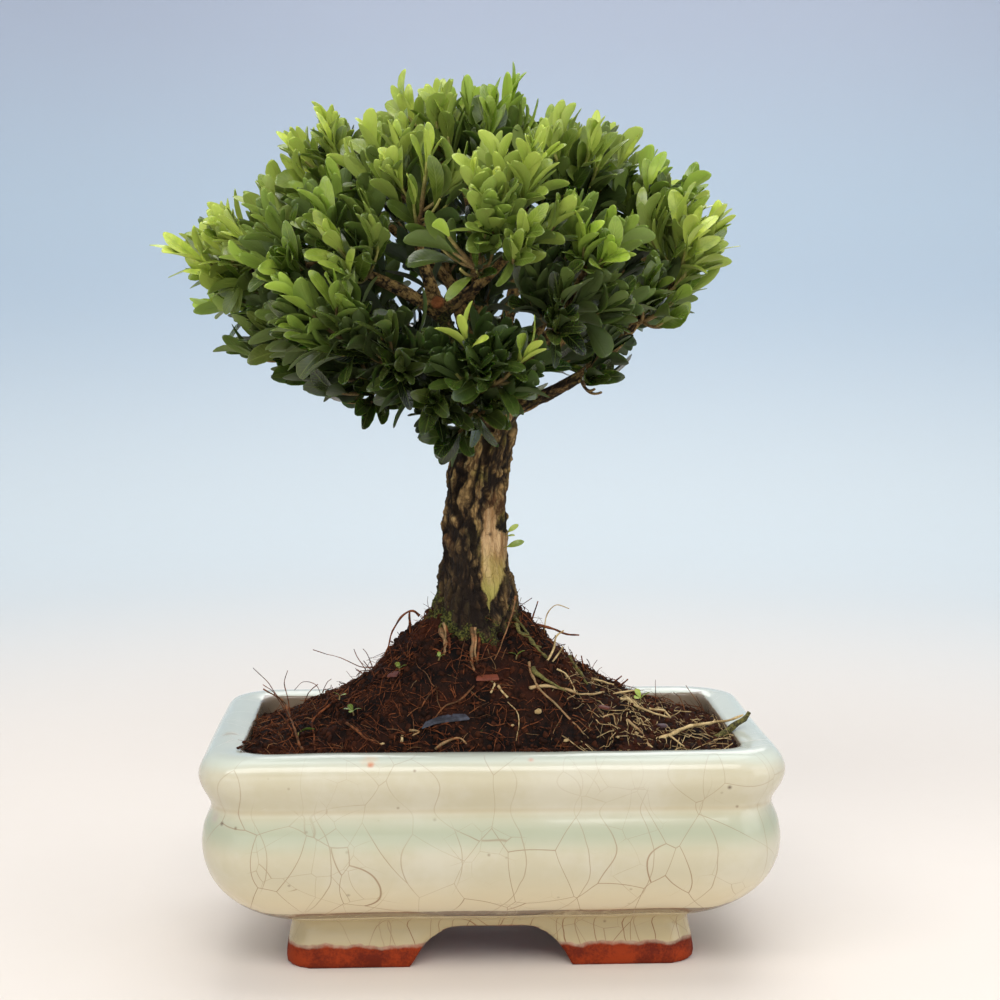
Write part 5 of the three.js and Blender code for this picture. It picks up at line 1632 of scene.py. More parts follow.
def make_blades():
    """Blades of unit length and width, each kind folded, curled and twisted a little differently."""
    shelf = bpy.data.collections.new("boxwood_blades")
    for kind, (fold, curl, twist) in enumerate(BLADE_KINDS):
        rings = []
        for y, half in BLADE_OUTLINE:
            for side, layer in ((-0.5, 0), (0, 0.5), (0.5, 0), (0, -0.5)):
                x = side * half
                thick = BLADE_THICKNESS * layer * (BLADE_END_THICKNESS if y in (0, 1) else 1)
                z = BLADE_FOLD * fold * abs(x) - curl * y * y + BLADE_ARCH * math.sin(math.pi * y) + thick
                cosine, sine = math.cos(twist * y), math.sin(twist * y)
                rings.append((x * cosine - z * sine, y, x * sine + z * cosine))
        points, faces = loft(np.reshape(rings, (-1, 4, 3)))
        mesh = bpy.data.meshes.new(f"blade_{kind}")
        mesh.from_pydata(points.tolist(), [], faces)
        mesh.polygons.foreach_set("use_smooth", [True] * len(mesh.polygons))
        # Across the blade from 0 to 1 on its upper side, and from 2 to 3 on its underside
        spots = [
            (0.499 * (0, 1, 2, 1)[corner % 4] + (2 if number % 4 > 1 else 0), BLADE_OUTLINE[corner // 4][0])
            for number, face in enumerate(faces) for corner in face
        ]
        mesh.uv_layers.new(name="blade").data.foreach_set("uv", np.ravel(spots))
        for edge in mesh.edges:
            first, second = edge.vertices
            edge.use_edge_sharp = first % 2 == 0 and first % 4 == second % 4
        shelf.objects.link(bpy.data.objects.new(f"blade_{kind}", mesh))
    return shelf


def make_spray_tree():
    """Geometry nodes: a round twig along every wire, and a blade on every leaf point."""
    tree, given, made = start_tree("leafy_spray", [
        ("Blades", "Collection"), ("Leaf Material", "Material"), ("Twig Material", "Material"),
        ("Leaf Size", "Float"), ("Twig Sides", "Int"),
    ])
    is_leaf = maths("GREATER_THAN", read_number("is_leaf"), 0.5)
    parted = add_node(
        "GeometryNodeSeparateGeometry", {0: given["Geometry"], 1: is_leaf}, domain="POINT"
    ).outputs
    wire = shaped("MeshToCurve", {0: parted[1]})
    circle = add_node("GeometryNodeCurvePrimitiveCircle", {"Resolution": given["Twig Sides"], "Radius": 1.0})
    twig = add_node("GeometryNodeCurveToMesh", {
        0: wire, 1: circle.outputs[0], 2: read_number("radius"), 3: True,
    }).outputs[0]
    twig = shaped("SetMaterial", {0: twig, 2: given["Twig Material"]})
    blades = add_node("GeometryNodeCollectionInfo", {0: given["Blades"], 1: True, 2: True}).outputs[0]
    axes = add_node("FunctionNodeAxesToRotation", {
        0: read_vector("direction"), 1: read_vector("face"),
    }, primary_axis="Y", secondary_axis="Z").outputs[0]
    size = scaled(read_vector("size"), given["Leaf Size"])
    kind = add_node("GeometryNodeInputNamedAttribute", {0: "kind"}, data_type="INT").outputs[0]
    leaves = add_node("GeometryNodeInstanceOnPoints", {
        0: parted[0], 2: blades, 3: True, 4: kind, 5: axes, 6: size,
    }).outputs[0]
    leaves = shaped("RealizeInstances", {0: leaves})
    leaves = shaped("SetMaterial", {0: leaves, 2: given["Leaf Material"]})
    joined(made, twig, leaves)
    return tree


def how_far_inside(point):
    """From 0 at the outside of the crown to 1 well inside it or on its underside, where leaves are older and
    get painted shade.
    """
    depth = 1 - np.linalg.norm((point - CROWN_CENTRE) / CROWN_REACH)
    lifted = point[2] + CROWN_DARK_SLOPE * abs(point[0] - CROWN_DARK_MIDDLE)
    under = smooth_step(-lifted, -CROWN_DARK_HEIGHT[0], -CROWN_DARK_HEIGHT[1])
    return float(max(smooth_step(depth, *CROWN_DARK_DEPTH), 0.9 * under))


def spray_piece(name, shoots, young, seed, tree, blades, leaf_material, sprig=False):
    """One spray as a plain mesh: its twigs and its leaves."""
    points, edges = [], []
    notes = {key: [] for key in ("radius", "age", "shade", "is_leaf", "inside")}
    vectors = {key: [] for key in ("direction", "face", "size")}
    kinds = []

    def add_point(point, radius, age, shade, is_leaf, direction, face, size, kind, fresh=False):
        points.append(point)
        # The last note, inside, is the share of painted shade that the material gives a leaf deep in the
        # crown.
        for key, value in zip(notes, (radius, age, shade, is_leaf, 0 if fresh else how_far_inside(point))):
            notes[key].append(value)
        for key, value in zip(vectors, (direction, face, size)):
            vectors[key].append(value)
        kinds.append(kind)

    flat = (np.array([0.0, 1, 0]), UP, np.ones(3))
    draw = make_draw(seed)
    for number, shoot in enumerate(shoots):
        first = len(points)
        for step in range(TWIG_POINTS):
            t = step / (TWIG_POINTS - 1)
            radius = mix(shoot["radii"][0], shoot["radii"][1], t) * MM
            tip_age = (0.3 + 0.7 * young) * (t if number == 0 else 0.55 + 0.45 * t)
            add_point(twig_point(shoot["route"], t), radius, tip_age, 0.5, 0, *flat, 0)
            if step:
                edges.append((first + step - 1, first + step))
        for leaf in shoot["leaves"]:
            freshness = young * LEAF_AGE_FROM_SPRAY + LEAF_AGE_AT_TIP - LEAF_AGE_PER_PAIR * leaf["pair"]
            freshness -= LEAF_AGE_ON_SIDE * (number > 0)
            age = min(1, max(0, freshness + draw(-LEAF_AGE_DRAW, LEAF_AGE_DRAW)))
            # Leaves deep in the crown are made older and darker: partly the old leaves a crown keeps inside,
            # partly painted shade.
            age *= 1 - 0.8 * how_far_inside(leaf["root"])
            age = leaf.get("youth", age)
            fresh = "youth" in leaf or (sprig and number == 0 and leaf["pair"] < 2)
            if sprig:
                age = 0.95 - 0.1 * leaf["pair"] if fresh else 0.05
            width = leaf["width"] * mix(*BLADE_WIDTH_SHARES, min(1, age * 1.3))
            size = np.array([width, leaf["length"], leaf["length"]]) * MM
            kind = int(draw(0, len(BLADE_KINDS) - 0.001))
            add_point(leaf["root"], 0, age, draw(0, 1), 1, leaf["direction"], leaf["face"], size, kind, fresh)
    mesh = bpy.data.meshes.new(name)
    mesh.from_pydata(in_metres(points).tolist(), edges, [])
    piece = bpy.data.objects.new(name, mesh)
    bpy.context.scene.collection.objects.link(piece)
    for key, values in notes.items():
        note_on_points(piece, key, values)
    for key, values in vectors.items():
        note_vectors(piece, key, values)
    mesh.attributes.new("kind", "INT", "POINT").data.foreach_set("value", kinds)
    growing = piece.modifiers.new("leaves and twigs", "NODES")
    growing.node_group = tree
    set_inputs(
        growing, Blades=blades, Leaf_Material=leaf_material, Twig_Material=TWIG, Leaf_Size=1.0, Twig_Sides=6,
    )
    make_plain(piece)
    for key in ("radius", "is_leaf", "direction", "face", "size", "kind"):
        if key in piece.data.attributes:
            piece.data.attributes.remove(piece.data.attributes[key])
    return piece


def make_sprays(limbs, tree, blades):
    """All sprays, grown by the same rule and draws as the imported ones, with more leaves on each."""
    places = twig_places()
    taken = []
    axis = np.concatenate([centres for centres, radii in limbs])
    reach = np.concatenate([radii for centres, radii in limbs])
    thinning = make_draw(THINNING_SEED)
    for number, (name, tip, young) in enumerate(SPRAYS):
        root = choose_root(np.array(tip, float), places, taken)
        taken.append(root)
        shoots = grow_spray(number, tip, root)
        for shoot in shoots:
            shoot["leaves"] = [
                leaf for leaf in shoot["leaves"]
                if clear_of_wood(leaf, axis, reach) and within_crown(leaf) and left_in_front(leaf, thinning)
                and (name not in SPARSE or thinning(0, 1) < SPARSE[name])
            ]
        age_slot = "leaf_old" if young < 0.35 else "leaf_grown" if young < 0.75 else "leaf_young"
        leaf_material = {"leaf_old": OLD_LEAF, "leaf_grown": GROWN_LEAF, "leaf_young": YOUNG_LEAF}[age_slot]
        seed = BLADE_SEED + number
        young = SHOWN_YOUTH.get(name, young)
        piece = spray_piece(
            f"leaves_{name}", shoots, young, seed, tree, blades, leaf_material, name in SPRIGS,
        )
        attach(piece, "root")
        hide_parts(f"spray_{name}")
    make_inner_shoots(places, axis, reach, tree, blades)


def make_inner_shoots(places, axis, reach, tree, blades):
    """Short dark shoots on the limbs inside the crown, so that little light comes through it."""
    draw = make_draw(INNER_SEED)
    shoots = []
    for place, along in places[::INNER_EVERY]:
        sideways = unit(np.cross(along, UP)) * draw(-1.6, 1.6)
        end = place + unit(along + sideways + UP * draw(-0.2, 0.9)) * draw(*INNER_LENGTH)
        shoot = grow_shoot(place, mix(place, end, 0.5), end, SIDE_TWIG_RADIUS, PAIRS_ON_SIDE, draw)
        shoot["leaves"] = [
            leaf for leaf in shoot["leaves"] if clear_of_wood(leaf, axis, reach) and within_crown(leaf)
        ]
        if end[1] > INNER_FRONT and shoot["leaves"]:
            shoots.append(shoot)
    piece = spray_piece("leaves_inner", shoots, INNER_YOUTH, INNER_SEED, tree, blades, OLD_LEAF)
    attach(piece, "root")


def within_crown(leaf):
    """Whether the leaf stays over the clipped underside of the crown."""
    x, y, z = leaf["root"] + leaf["direction"] * leaf["length"] * 0.8
    heights = list(zip(*CROWN_UNDERSIDE))
    return z > np.interp(x, *heights) + UNDERSIDE_RISE * y * y


def left_in_front(leaf, thinning):
    """Whether the leaf is left where the crown is thin in front of its limbs."""
    x, y, z = leaf["root"] + leaf["direction"] * leaf["length"] * 0.5
    away = math.hypot((x - THIN_MIDDLE[0]) / THIN_HALF[0], (z - THIN_MIDDLE[1]) / THIN_HALF[1])
    return y > THIN_FRONT or away > 1 or thinning(0, 1) < THIN_KEPT


def clear_of_wood(leaf, axis, reach):
    """Whether the blade's middle line stays out of the wood."""
    for share in (0.4, 0.7, 1):
        point = leaf["root"] + leaf["direction"] * leaf["length"] * share
        if (np.linalg.norm(axis - point, axis=1) < reach + 0.6).any():
            return False
    return True

# Soil

def soil_height(x, y):
    distance = np.hypot(x - MOUND_CENTRE[0], (y - MOUND_CENTRE[1]) * MOUND_NARROWNESS)
    mound = MOUND_RISE / (1 + (distance / MOUND_REACH) ** MOUND_STEEPNESS)
    edge = ((x / SOIL_HALF_WIDTH) ** 4 + (y / SOIL_HALF_DEPTH) ** 4) ** 0.25
    fall = 1 - np.minimum(1, edge) ** 4
    to_side = np.maximum(0, np.abs(x) / SOIL_HALF_WIDTH - BACK_CORNER_START)
    back_corner = np.maximum(0, y / SOIL_HALF_DEPTH) * to_side
    lumps = np.sin(x * 0.31 + 1) * np.cos(y * 0.37) + 0.6 * np.sin(x * 0.13 - y * 0.21)
    return SOIL_LEVEL + mound * fall - BACK_CORNER_DROP * back_corner + SOIL_ROUGHNESS * lumps


def clumps(x, y):
    """Clods and hollows of the loose peat, lower towards the pot's wall."""
    spots = np.column_stack([np.ravel(x), np.ravel(y), np.zeros(np.size(x))])
    height = SOIL_CLUMP * noise_at(spots, 9, 3) + 0.45 * SOIL_CLUMP * noise_at(spots, 3.4, 4)
    edge = np.maximum(np.abs(spots[:, 0]) / SOIL_HALF_WIDTH, np.abs(spots[:, 1]) / SOIL_HALF_DEPTH)
    return height * (1 - 0.8 * smooth_step(edge, 0.9, 1))


def soil_top(x, y):
    x, y = np.atleast_1d(np.asarray(x, float)), np.atleast_1d(np.asarray(y, float))
    return soil_height(x, y) + clumps(x, y)


def wall_ring(inset, radius):
    """Where even rays from the mound's centre meet the rounded outline of the pot's inside."""
    angles = np.arange(SOIL_RAYS) * 2 * math.pi / SOIL_RAYS
    ways = np.column_stack([np.cos(angles), np.sin(angles)])
    low, high = np.zeros(SOIL_RAYS), np.full(SOIL_RAYS, float(POT_WIDTH))
    for halving in range(24):
        half = (low + high) / 2
        spots = np.abs(MOUND_CENTRE + ways * half[:, None])
        x = spots[:, 0] - (POT_WIDTH / 2 - inset - radius)
        y = spots[:, 1] - (POT_DEPTH / 2 - inset - radius)
        outside = np.hypot(np.maximum(x, 0), np.maximum(y, 0)) + np.minimum(np.maximum(x, y), 0) > radius
        high = np.where(outside, half, high)
        low = np.where(outside, low, half)
    return MOUND_CENTRE + ways * low[:, None]


def make_soil():
    """The peat: the packed soil's form with clods, then a cover of crumbs and fibres."""
    rings = []
    for inset, height, radius in INSIDE_PROFILE[:-1]:
        spots = wall_ring(inset + GAP, radius)
        rings.append(np.column_stack([spots, np.full(SOIL_RAYS, max(height, FLOOR_TOP + SOIL_OVER_SCREENS))]))
    edge_inset, under_rim, edge_radius = INSIDE_PROFILE[-1]
    wall = wall_ring(edge_inset + GAP, edge_radius)
    rings.append(np.column_stack([wall, np.full(SOIL_RAYS, under_rim - 4)]))
    for share in np.linspace(1, 0.02, SOIL_RINGS):
        spots = mix(MOUND_CENTRE, wall, share)
        rings.append(np.column_stack([spots, soil_top(spots[:, 0], spots[:, 1])]))
    soil = piece_from("peat_mound", *loft(rings))
    points = points_of(soil)
    from_trunk = np.hypot(points[:, 0] - TRUNK[1][1], points[:, 1] - TRUNK[1][2])
    patches = noise_at(points, 11, 6)
    to_right = smooth_step(points[:, 0], 16, 42) * smooth_step(-points[:, 1], -20, 8)
    moss = smooth_step(-from_trunk, -25, -13) * (0.06 + 0.75 * patches)
    moss += 0.25 * smooth_step(patches, 0.25, 0.5)
    note_on_points(soil, "moss", np.clip(moss * (points[:, 2] > SOIL_LEVEL), 0, 0.9))
    note_on_points(soil, "straw", np.clip(to_right * 0.95 + 0.06, 0, 1))
    note_on_points(soil, "shade", np.zeros(len(points)))
    soil.data.materials.append(PEAT)
    fibres = soil.copy()
    fibres.name = "dry_fibres"
    fibres.data = soil.data.copy()
    fibres.data.materials[0] = FIBRE
    bpy.context.scene.collection.objects.link(fibres)
    grow_cover(soil, make_crumb_tree(), Crumb=crumb_shape(), Per_Area=CRUMBS_PER_AREA, Size=CRUMB_SIZE * MM)
    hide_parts("soil")
    grow_cover(
        fibres, make_fibre_tree(), Fibres=fibre_shapes(), Per_Area=FIBRES_PER_AREA, Length=FIBRE_LENGTH * MM,
        Thickness=FIBRE_THICKNESS * MM, Fibre_Material=FIBRE,
    )


def grow_cover(piece, tree, **sizes):
    cover = piece.modifiers.new("cover", "NODES")
    cover.node_group = tree
    set_inputs(cover, **sizes)
    make_plain(piece)
    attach(piece, "root")


def crumb_shape():
    ball = bmesh.new()
    bmesh.ops.create_icosphere(ball, subdivisions=1, radius=0.5)
    mesh = bpy.data.meshes.new("peat_crumb")
    ball.to_mesh(mesh)
    ball.free()
    mesh.polygons.foreach_set("use_smooth", [True] * len(mesh.polygons))
    return bpy.data.objects.new("peat_crumb", mesh)


def fibre_shapes():
    """Wavy roots of unit length, seven of them, thinning towards one end."""
    shelf = bpy.data.collections.new("dry_fibres")
    for kind in range(FIBRE_KINDS):
        draw = make_draw(FIBRE_SEED + kind)
        swing, lift = draw(0.8, 3.4), draw(0.2, 1.3)
        phases = [draw(0, 2 * math.pi) for i in range(4)]
        waves = [draw(2, 4.5), draw(6, 11)]
        shares = np.linspace(0, 1, FIBRE_STEPS)
        sway = swing * (np.sin(shares * waves[0] + phases[0]) + 0.3 * np.sin(shares * waves[1] + phases[1]))
        rise = lift * (np.sin(shares * waves[1] + phases[2]) + 0.6 * np.sin(shares * waves[0] + phases[3]))
        centres = np.column_stack([(shares - 0.5) * 10, sway - sway.mean(), rise - rise.mean()])
        rings = tube_rings(centres, 0.17 * (1 - 0.65 * shares ** 2), 3)
        rings[:, :, 0] /= 10
        points, faces = loft(rings)
        mesh = bpy.data.meshes.new(f"fibre_{kind}")
        mesh.from_pydata(points.tolist(), [], faces)
        mesh.polygons.foreach_set("use_smooth", [True] * len(mesh.polygons))
        shelf.objects.link(bpy.data.objects.new(f"fibre_{kind}", mesh))
    return shelf


def scatter_on_top(geometry, per_area, seed):
    """Points at random over the soil's upper side, with the normals there."""
    normal = field("Normal")
    position = field("Position")
    height = height_of(position)
    facing_up = maths("GREATER_THAN", height_of(normal), 0.2)
    upper = times(facing_up, maths("GREATER_THAN", height, COVER_FROM * MM))
    inputs = {0: geometry, 1: upper, 4: per_area, 6: seed}
    return add_node("GeometryNodeDistributePointsOnFaces", inputs, distribute_method="RANDOM").outputs


def euler(angles):
    return add_node("FunctionNodeEulerToRotation", {0: angles}).outputs[0]


def make_crumb_tree():
    """Geometry nodes: crumbs of every size on the soil, few of them big."""
    sizes = [("Crumb", "Object"), ("Per Area", "Float"), ("Size", "Float")]
    tree, given, made = start_tree("peat_crumbs", sizes)
    spots = scatter_on_top(given["Geometry"], given["Per Area"], 11)
    crumb = add_node("GeometryNodeObjectInfo", {0: given["Crumb"]}).outputs["Geometry"]
    grade = maths("POWER", random_number(0, 1, 21), 3.0)
    length = times(plus(0.35, times(grade, 1.5)), given["Size"])
    stretch = random_vector((0.6, 0.6, 0.5), (1.3, 1.3, 1.0), 22)
    turn = random_vector((0, 0, 0), (6.28, 6.28, 6.28), 23)
    crumbs = add_node("GeometryNodeInstanceOnPoints", {
        0: spots[0], 2: crumb, 5: euler(turn), 6: scaled(stretch, length),
    }).outputs[0]
    tone = times(random_number(0, 1, 24), 0.6)
    crumbs = store_number(crumbs, "shade", tone, "INSTANCE")
    crumbs = shaped("RealizeInstances", {0: crumbs})
    position = field("Position")
    shake = vector_maths("SUBTRACT", noise_value(position, 900, 2, output=1), (0.5, 0.5, 0.5))
    crumbs = shaped("SetPosition", {0: crumbs, 3: scaled(shake, 0.0012)})
    crumbs = shaped("SetMaterial", {0: crumbs, 2: PEAT})
    joined(made, crumbs, given["Geometry"])
    return tree


def make_fibre_tree():
    """Geometry nodes: dry roots and fibres lying all ways over the soil."""
    tree, given, made = start_tree("dry_fibres", [
        ("Fibres", "Collection"), ("Per Area", "Float"), ("Length", "Float"), ("Thickness", "Float"),
        ("Fibre Material", "Material"),
    ])
    places = scatter_on_top(given["Geometry"], given["Per Area"], 12)
    spin = random_vector((-0.35, -0.3, 0), (0.35, 0.3, 6.28), 31)
    upright = add_node("FunctionNodeAlignRotationToVector", {2: places[1]}, axis="Z").outputs[0]
    lying = add_node("FunctionNodeRotateRotation", {0: upright, 1: euler(spin)}, rotation_space="LOCAL")
    long = times(plus(0.35, random_number(0, 1, 32)), given["Length"])
    thick = times(random_number(0.5, 1.25, 33), given["Thickness"])
    size = add_node("ShaderNodeCombineXYZ", {0: long, 1: thick, 2: thick}).outputs[0]
    pick = add_node("FunctionNodeRandomValue", {4: 0, 5: FIBRE_KINDS - 1, 8: 34}, data_type="INT").outputs[2]
    shapes = add_node("GeometryNodeCollectionInfo", {0: given["Fibres"], 1: True, 2: True}).outputs[0]
    fibres = add_node("GeometryNodeInstanceOnPoints", {
        0: places[0], 2: shapes, 3: True, 4: pick, 5: lying.outputs[0], 6: size,
    }).outputs[0]
    straw = times(read_number("straw"), 0.7)
    tone = plus(straw, random_number(0, 0.62, 35), clamp=True)
    fibres = store_number(fibres, "shade", tone, "INSTANCE")
    fibres = shaped("RealizeInstances", {0: fibres})
    fibres = shaped("SetMaterial", {0: fibres, 2: given["Fibre Material"]})
    give(made, {0: fibres})
    return tree


def strand(route, first_radius, last_radius, sides=5, wobble=0, seed=0):
    """Skin of a root through (x, y, height over the soil), thinning to its end."""
    rows = np.array([(x, y, soil_top(x, y)[0] + lift) for x, y, lift in np.reshape(route, (-1, 3))])
    centres = smooth_rows(rows, 4)
    sway = np.column_stack([noise_at(centres, 4, seed + k) for k in range(3)])
    centres = centres + wobble * sway
    radii = mix(first_radius, last_radius, np.linspace(0, 1, len(centres)))
    radii = radii * (1 + 0.5 * noise_at(centres, 1.8, seed + 9))
    return loft(tube_rings(centres, radii, sides))


def make_loose_roots():
    """Roots, hairs and twigs that lie on the peat or stand out of it."""
    skins, shades = [], []
    for number, (first, last, shade, *route) in enumerate(LOOSE_ROOTS):
        skins.append(strand(route, first, last, wobble=0.15 + 0.55 * first, seed=number))
        shades += [shade] * len(skins[-1][0])
    roots = piece_from("loose_roots", *merged(skins))
    note_on_points(roots, "shade", shades)
    roots.data.materials.append(FIBRE)
    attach(roots, "root")

    skins, shades = [], []
    for number, (first, last, shade, *route) in enumerate(GREEN_ROOTS):
        skins.append(strand(route, first, last, sides=8, wobble=0.9, seed=GREEN_ROOT_SEED + number))
        shades += [shade] * len(skins[-1][0])
    green = piece_from("mossy_roots", *merged(skins))
    note_on_points(green, "shade", shades)
    green.data.materials.append(MOSS)
    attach(green, "root")


def chip_skin(outline, lift):
    """A flat chip that follows the peat, with a slightly raised middle."""
    spots = np.array(outline, float)
    bed = soil_top(spots[:, 0], spots[:, 1]).mean() + lift
    slope = soil_top(spots[:, 0], spots[:, 1]) - bed
    rings = []
    for share, rise in ((1, -CHIP_THICKNESS), (1.04, -CHIP_THICKNESS / 2), (1, 0), (0.45, 0.12)):
        ring = mix(spots.mean(axis=0), spots, share)
        rings.append(np.column_stack([ring, bed + 0.4 * (slope + lift) * share + rise]))
    return loft(rings)


def small_balls(places):
    """Rough balls: middle, lengths along its three sides, and a turn about the upright."""
    source = crumb_shape().data
    shape = np.array([vertex.co for vertex in source.vertices])
    corners = [tuple(polygon.vertices) for polygon in source.polygons]
    skins = []
    for number, (middle, lengths, turn) in enumerate(places):
        cosine, sine = math.cos(turn), math.sin(turn)
        turning = np.array([[cosine, -sine, 0], [sine, cosine, 0], [0, 0, 1]])
        rough = 1 + 0.25 * noise_at(shape + number, 0.5, 40)[:, None]
        skins.append(((shape * rough * np.array(lengths)) @ turning.T + np.array(middle), corners))
    return merged(skins)


def make_litter():
    """Chips and seeds on the peat, and the crumbs that spilled on the rim."""
    skins = [chip_skin(outline, lift) for outline, lift, shade in CHIPS]
    chips = piece_from("stone_and_bark_chips", *merged(skins), smooth=False)
    note_on_points(chips, "shade", [chip[2] for chip, skin in zip(CHIPS, skins) for point in skin[0]])
    chips.data.materials.append(CHIP)
    draw = make_draw(LITTER_SEED)
    places = []
    for x, y, lift, length in SEEDS:
        places.append(((x, y, soil_top(x, y)[0] + lift), (length, 0.6 * length, 0.5 * length), draw(0, 3)))
    seeds = piece_from("pale_seeds", *small_balls(places))
    note_on_points(seeds, "shade", np.ones(len(seeds.data.vertices)))
    seeds.data.materials.append(FIBRE)
    places = []
    for start, end, count, size in SPILLS:
        for crumb in range(count):
            x, y = mix(np.array(start, float), np.array(end, float), draw(0, 1))
            lengths = size * draw(0.3, 1) * np.array([1.2, 0.9, 0.8])
            middle = (x + draw(-0.4, 0.4), y + draw(-1.1, 1.1), POT_HEIGHT - 0.3 + 0.2 * size)
            places.append((middle, lengths, draw(0, 3)))
    spilled = piece_from("spilled_peat", *small_balls(places))
    note_on_points(spilled, "shade", 0.5 + 0.5 * noise_at(points_of(spilled), 2, 41))
    spilled.data.materials.append(PEAT)
    for piece in (chips, seeds, spilled):
        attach(piece, "root")


def make_seedlings(tree, blades):
    """Tiny plants that came up in the peat, and a sprout on the trunk."""
    draw = make_draw(SEEDLING_SEED)
    shoots = []
    for x, y, count, length, youth in SEEDLINGS:
        foot = np.array([x, y, soil_top(x, y)[0] + 0.4])
        top = foot + np.array([draw(-0.6, 0.6), draw(-0.6, 0.6), 0.5 * length])
        leaves = []
        for number in range(count):
            turn = 2 * math.pi * number / count + draw(-0.4, 0.4)
            direction = unit(np.array([math.cos(turn), math.sin(turn) - 0.3, draw(0.3, 0.9)]))
            leaves.append(small_leaf(top, direction, length, 0.6, youth))
        shoots.append({"route": (foot, mix(foot, top, 0.5), top), "radii": (0.25, 0.2), "leaves": leaves})
    for root, tip in TRUNK_SPROUT:
        root = np.array(root)
        reach = np.array(tip) - root
        way = unit(reach)
        leaf = small_leaf(root, way, np.linalg.norm(reach), 0.42, 0.45, (0, -1, 0.6))
        twig = (root - way, root - 0.5 * way, root + 0.2 * reach)
        shoots.append({"route": twig, "radii": (0.3, 0.2), "leaves": [leaf]})
    seedlings = spray_piece("seedlings", shoots, 0.6, SEEDLING_BLADE_SEED, tree, blades, YOUNG_LEAF)
    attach(seedlings, "root")


def small_leaf(root, direction, length, slenderness, youth, facing=(0.01, -0.2, 1)):
    facing = np.array(facing, float)
    face = unit(facing - direction * np.dot(facing, direction))
    return {
        "root": root, "direction": direction, "face": face, "length": length,
        "width": length * slenderness, "pair": 0, "youth": youth,
    }
# Studio

# Paper: near the pot, far out on the floor, low and high on the wall. Up the wall it turns darker and bluer
# as painted shade
PAPER_NEAR = colour(224, 215, 205)
PAPER_FAR = colour(216, 224, 226)
PAPER_WALL_PAINTED_SHADE = colour(186, 201, 214)
PAPER_HIGH_PAINTED_SHADE = colour(184, 191, 206)
SWEEP_STEPS = 12
SWEEP_SIDES = 96
SKY_TONE = (0.9, 0.95, 1.0, 1.0)
SKY_STRENGTH = 0.44
CROWN_AIM = (0, 0, 180)
POT_AIM = (0, 0, 40)
# Lamps: name, place, target, size, strength and tone
LAMPS = [
    ("key_from_upper_left", (-260, -800, 900), CROWN_AIM, (1300, 380), 10.6, (1.0, 0.98, 0.95)),
    ("fill_from_right", (800, -560, 420), CROWN_AIM, (700, 700), 3.4, (0.98, 0.99, 1.0)),
    ("top", (60, 160, 1150), CROWN_AIM, (900, 900), 7, (0.99, 0.99, 1.0)),
    ("low_front", (-420, -880, 190), POT_AIM, (900, 260), 1.1, (1.0, 0.98, 0.95)),
    ("from_behind", (170, 1300, 900), CROWN_AIM, (800, 800), 4.6, (1.0, 0.99, 0.96)),
]


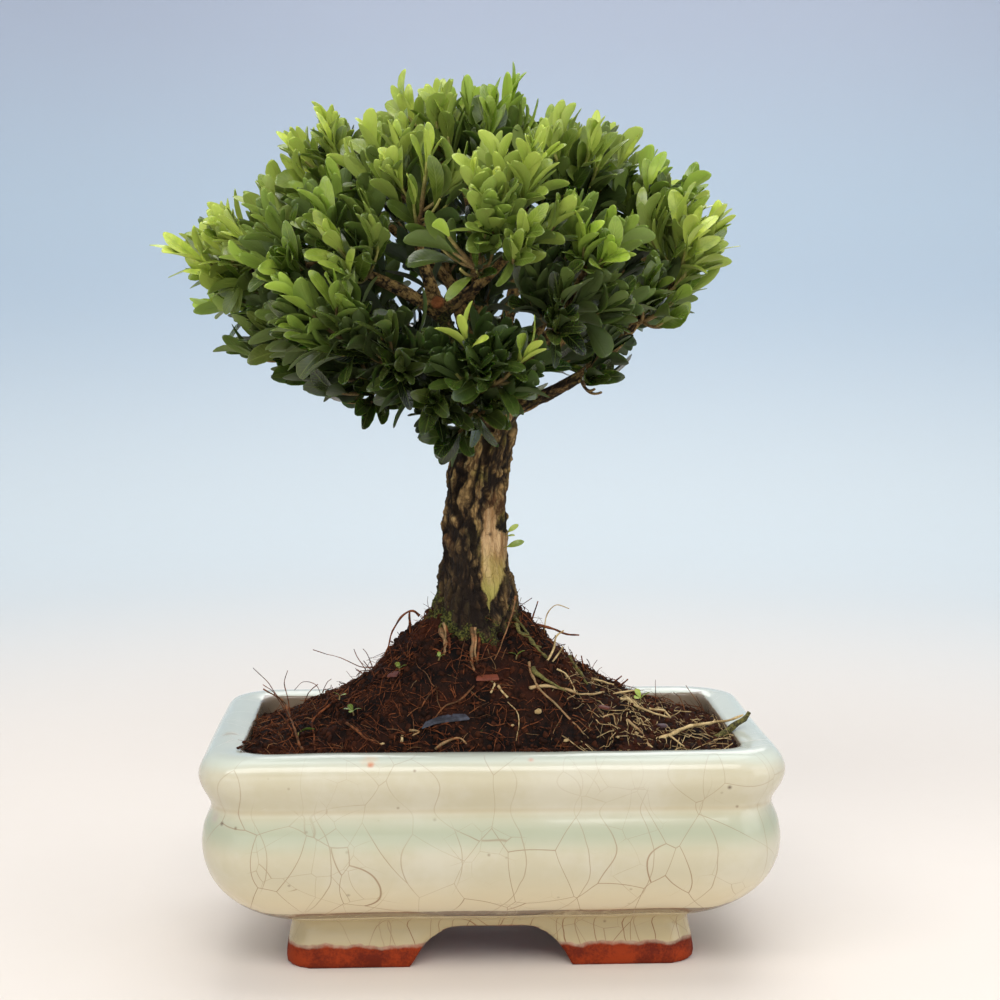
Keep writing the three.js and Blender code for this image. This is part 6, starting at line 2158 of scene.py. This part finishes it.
def make_studio():
    """A round pale sweep, flat where the pot stands, with a wall that curves up all round."""
    profile = [(0, 0), (STUDIO_RADIUS * 0.5, 0), (STUDIO_RADIUS - STUDIO_SWEEP, 0)]
    for step in range(1, SWEEP_STEPS + 1):
        angle = math.radians(90 * step / SWEEP_STEPS)
        profile.append((
            STUDIO_RADIUS - STUDIO_SWEEP + STUDIO_SWEEP * math.sin(angle),
            STUDIO_SWEEP * (1 - math.cos(angle)),
        ))
    profile.append((STUDIO_RADIUS, STUDIO_WALL))
    sides = SWEEP_SIDES
    points = [(0, 0, 0)]
    for radius, height in profile[1:]:
        for i in range(sides):
            angle = 2 * math.pi * i / sides
            points.append((radius * math.cos(angle), radius * math.sin(angle), height))
    faces = [(0, 1 + i, 1 + (i + 1) % sides) for i in range(sides)]
    for level in range(len(profile) - 2):
        for i in range(sides):
            a = 1 + level * sides + i
            b = 1 + level * sides + (i + 1) % sides
            faces.append((a, a + sides, b + sides, b))
    sweep = piece_from("studio_sweep", points, faces)
    material, shader, place = start_material("pale_studio_paper", Roughness=0.9, Specular_IOR_Level=0.1)
    height = height_of(place)
    distance = vector_maths_value("LENGTH", place)
    far = between(distance, 0.25, 1.0)
    floor = blend_colours(far, PAPER_NEAR, PAPER_FAR)
    # Painted shade: the paper on the wall grows darker and bluer with height.
    wall = blend_colours(between(height, 0.0, 0.26), floor, PAPER_WALL_PAINTED_SHADE)
    paper = blend_colours(between(height, 0.3, 0.6), wall, PAPER_HIGH_PAINTED_SHADE)
    fibres = noise_value(place, 90, 4)
    join_up(
        shader,
        Base_Color=blend_colours(times(fibres, 0.05), paper, colour(206, 190, 176)),
        Normal=bump_normal(fibres, 0.1, 0.1),
    )
    sweep.data.materials.append(material)


def soft_light(name, place, target, size, strength, tone):
    lamp = bpy.data.lights.new(name, "AREA")
    lamp.shape = "RECTANGLE"
    lamp.size = size[0] * MM
    lamp.size_y = size[1] * MM
    lamp.energy = strength
    lamp.color = tone
    light = bpy.data.objects.new(name, lamp)
    bpy.context.scene.collection.objects.link(light)
    light.location = Vector(place) * MM
    light.rotation_euler = (Vector(target) - Vector(place)).to_track_quat("-Z", "Y").to_euler()


def light_studio():
    world = bpy.data.worlds.new("soft_daylight")
    world.use_nodes = True
    background = next(node for node in world.node_tree.nodes if node.type == "BACKGROUND")
    background.inputs["Color"].default_value = SKY_TONE
    background.inputs["Strength"].default_value = SKY_STRENGTH
    bpy.context.scene.world = world
    for lamp in LAMPS:
        soft_light(*lamp)


def set_camera():
    camera = bpy.data.objects.new("camera", bpy.data.cameras.new("camera"))
    bpy.context.scene.collection.objects.link(camera)
    camera.location = in_metres(CAMERA_PLACE)[0]
    camera.rotation_euler = (math.radians(90 - CAMERA_TILT), 0, math.radians(CAMERA_TURN))
    camera.data.lens = CAMERA_LENS
    camera.data.clip_start = 0.01
    camera.data.clip_end = 50
    bpy.context.scene.camera = camera
    bpy.context.scene.view_settings.view_transform = "Standard"


make_studio()
light_studio()
set_camera()
for screen in ("drain_screen_left", "drain_screen_right"):
    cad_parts[screen].data.materials.clear()
    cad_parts[screen].data.materials.append(SCREEN_PLASTIC)

make_pot()
limbs = make_wood()
spray_tree = make_spray_tree()
blades = make_blades()
make_sprays(limbs, spray_tree, blades)
make_soil()
make_loose_roots()
make_litter()
make_seedlings(spray_tree, blades)
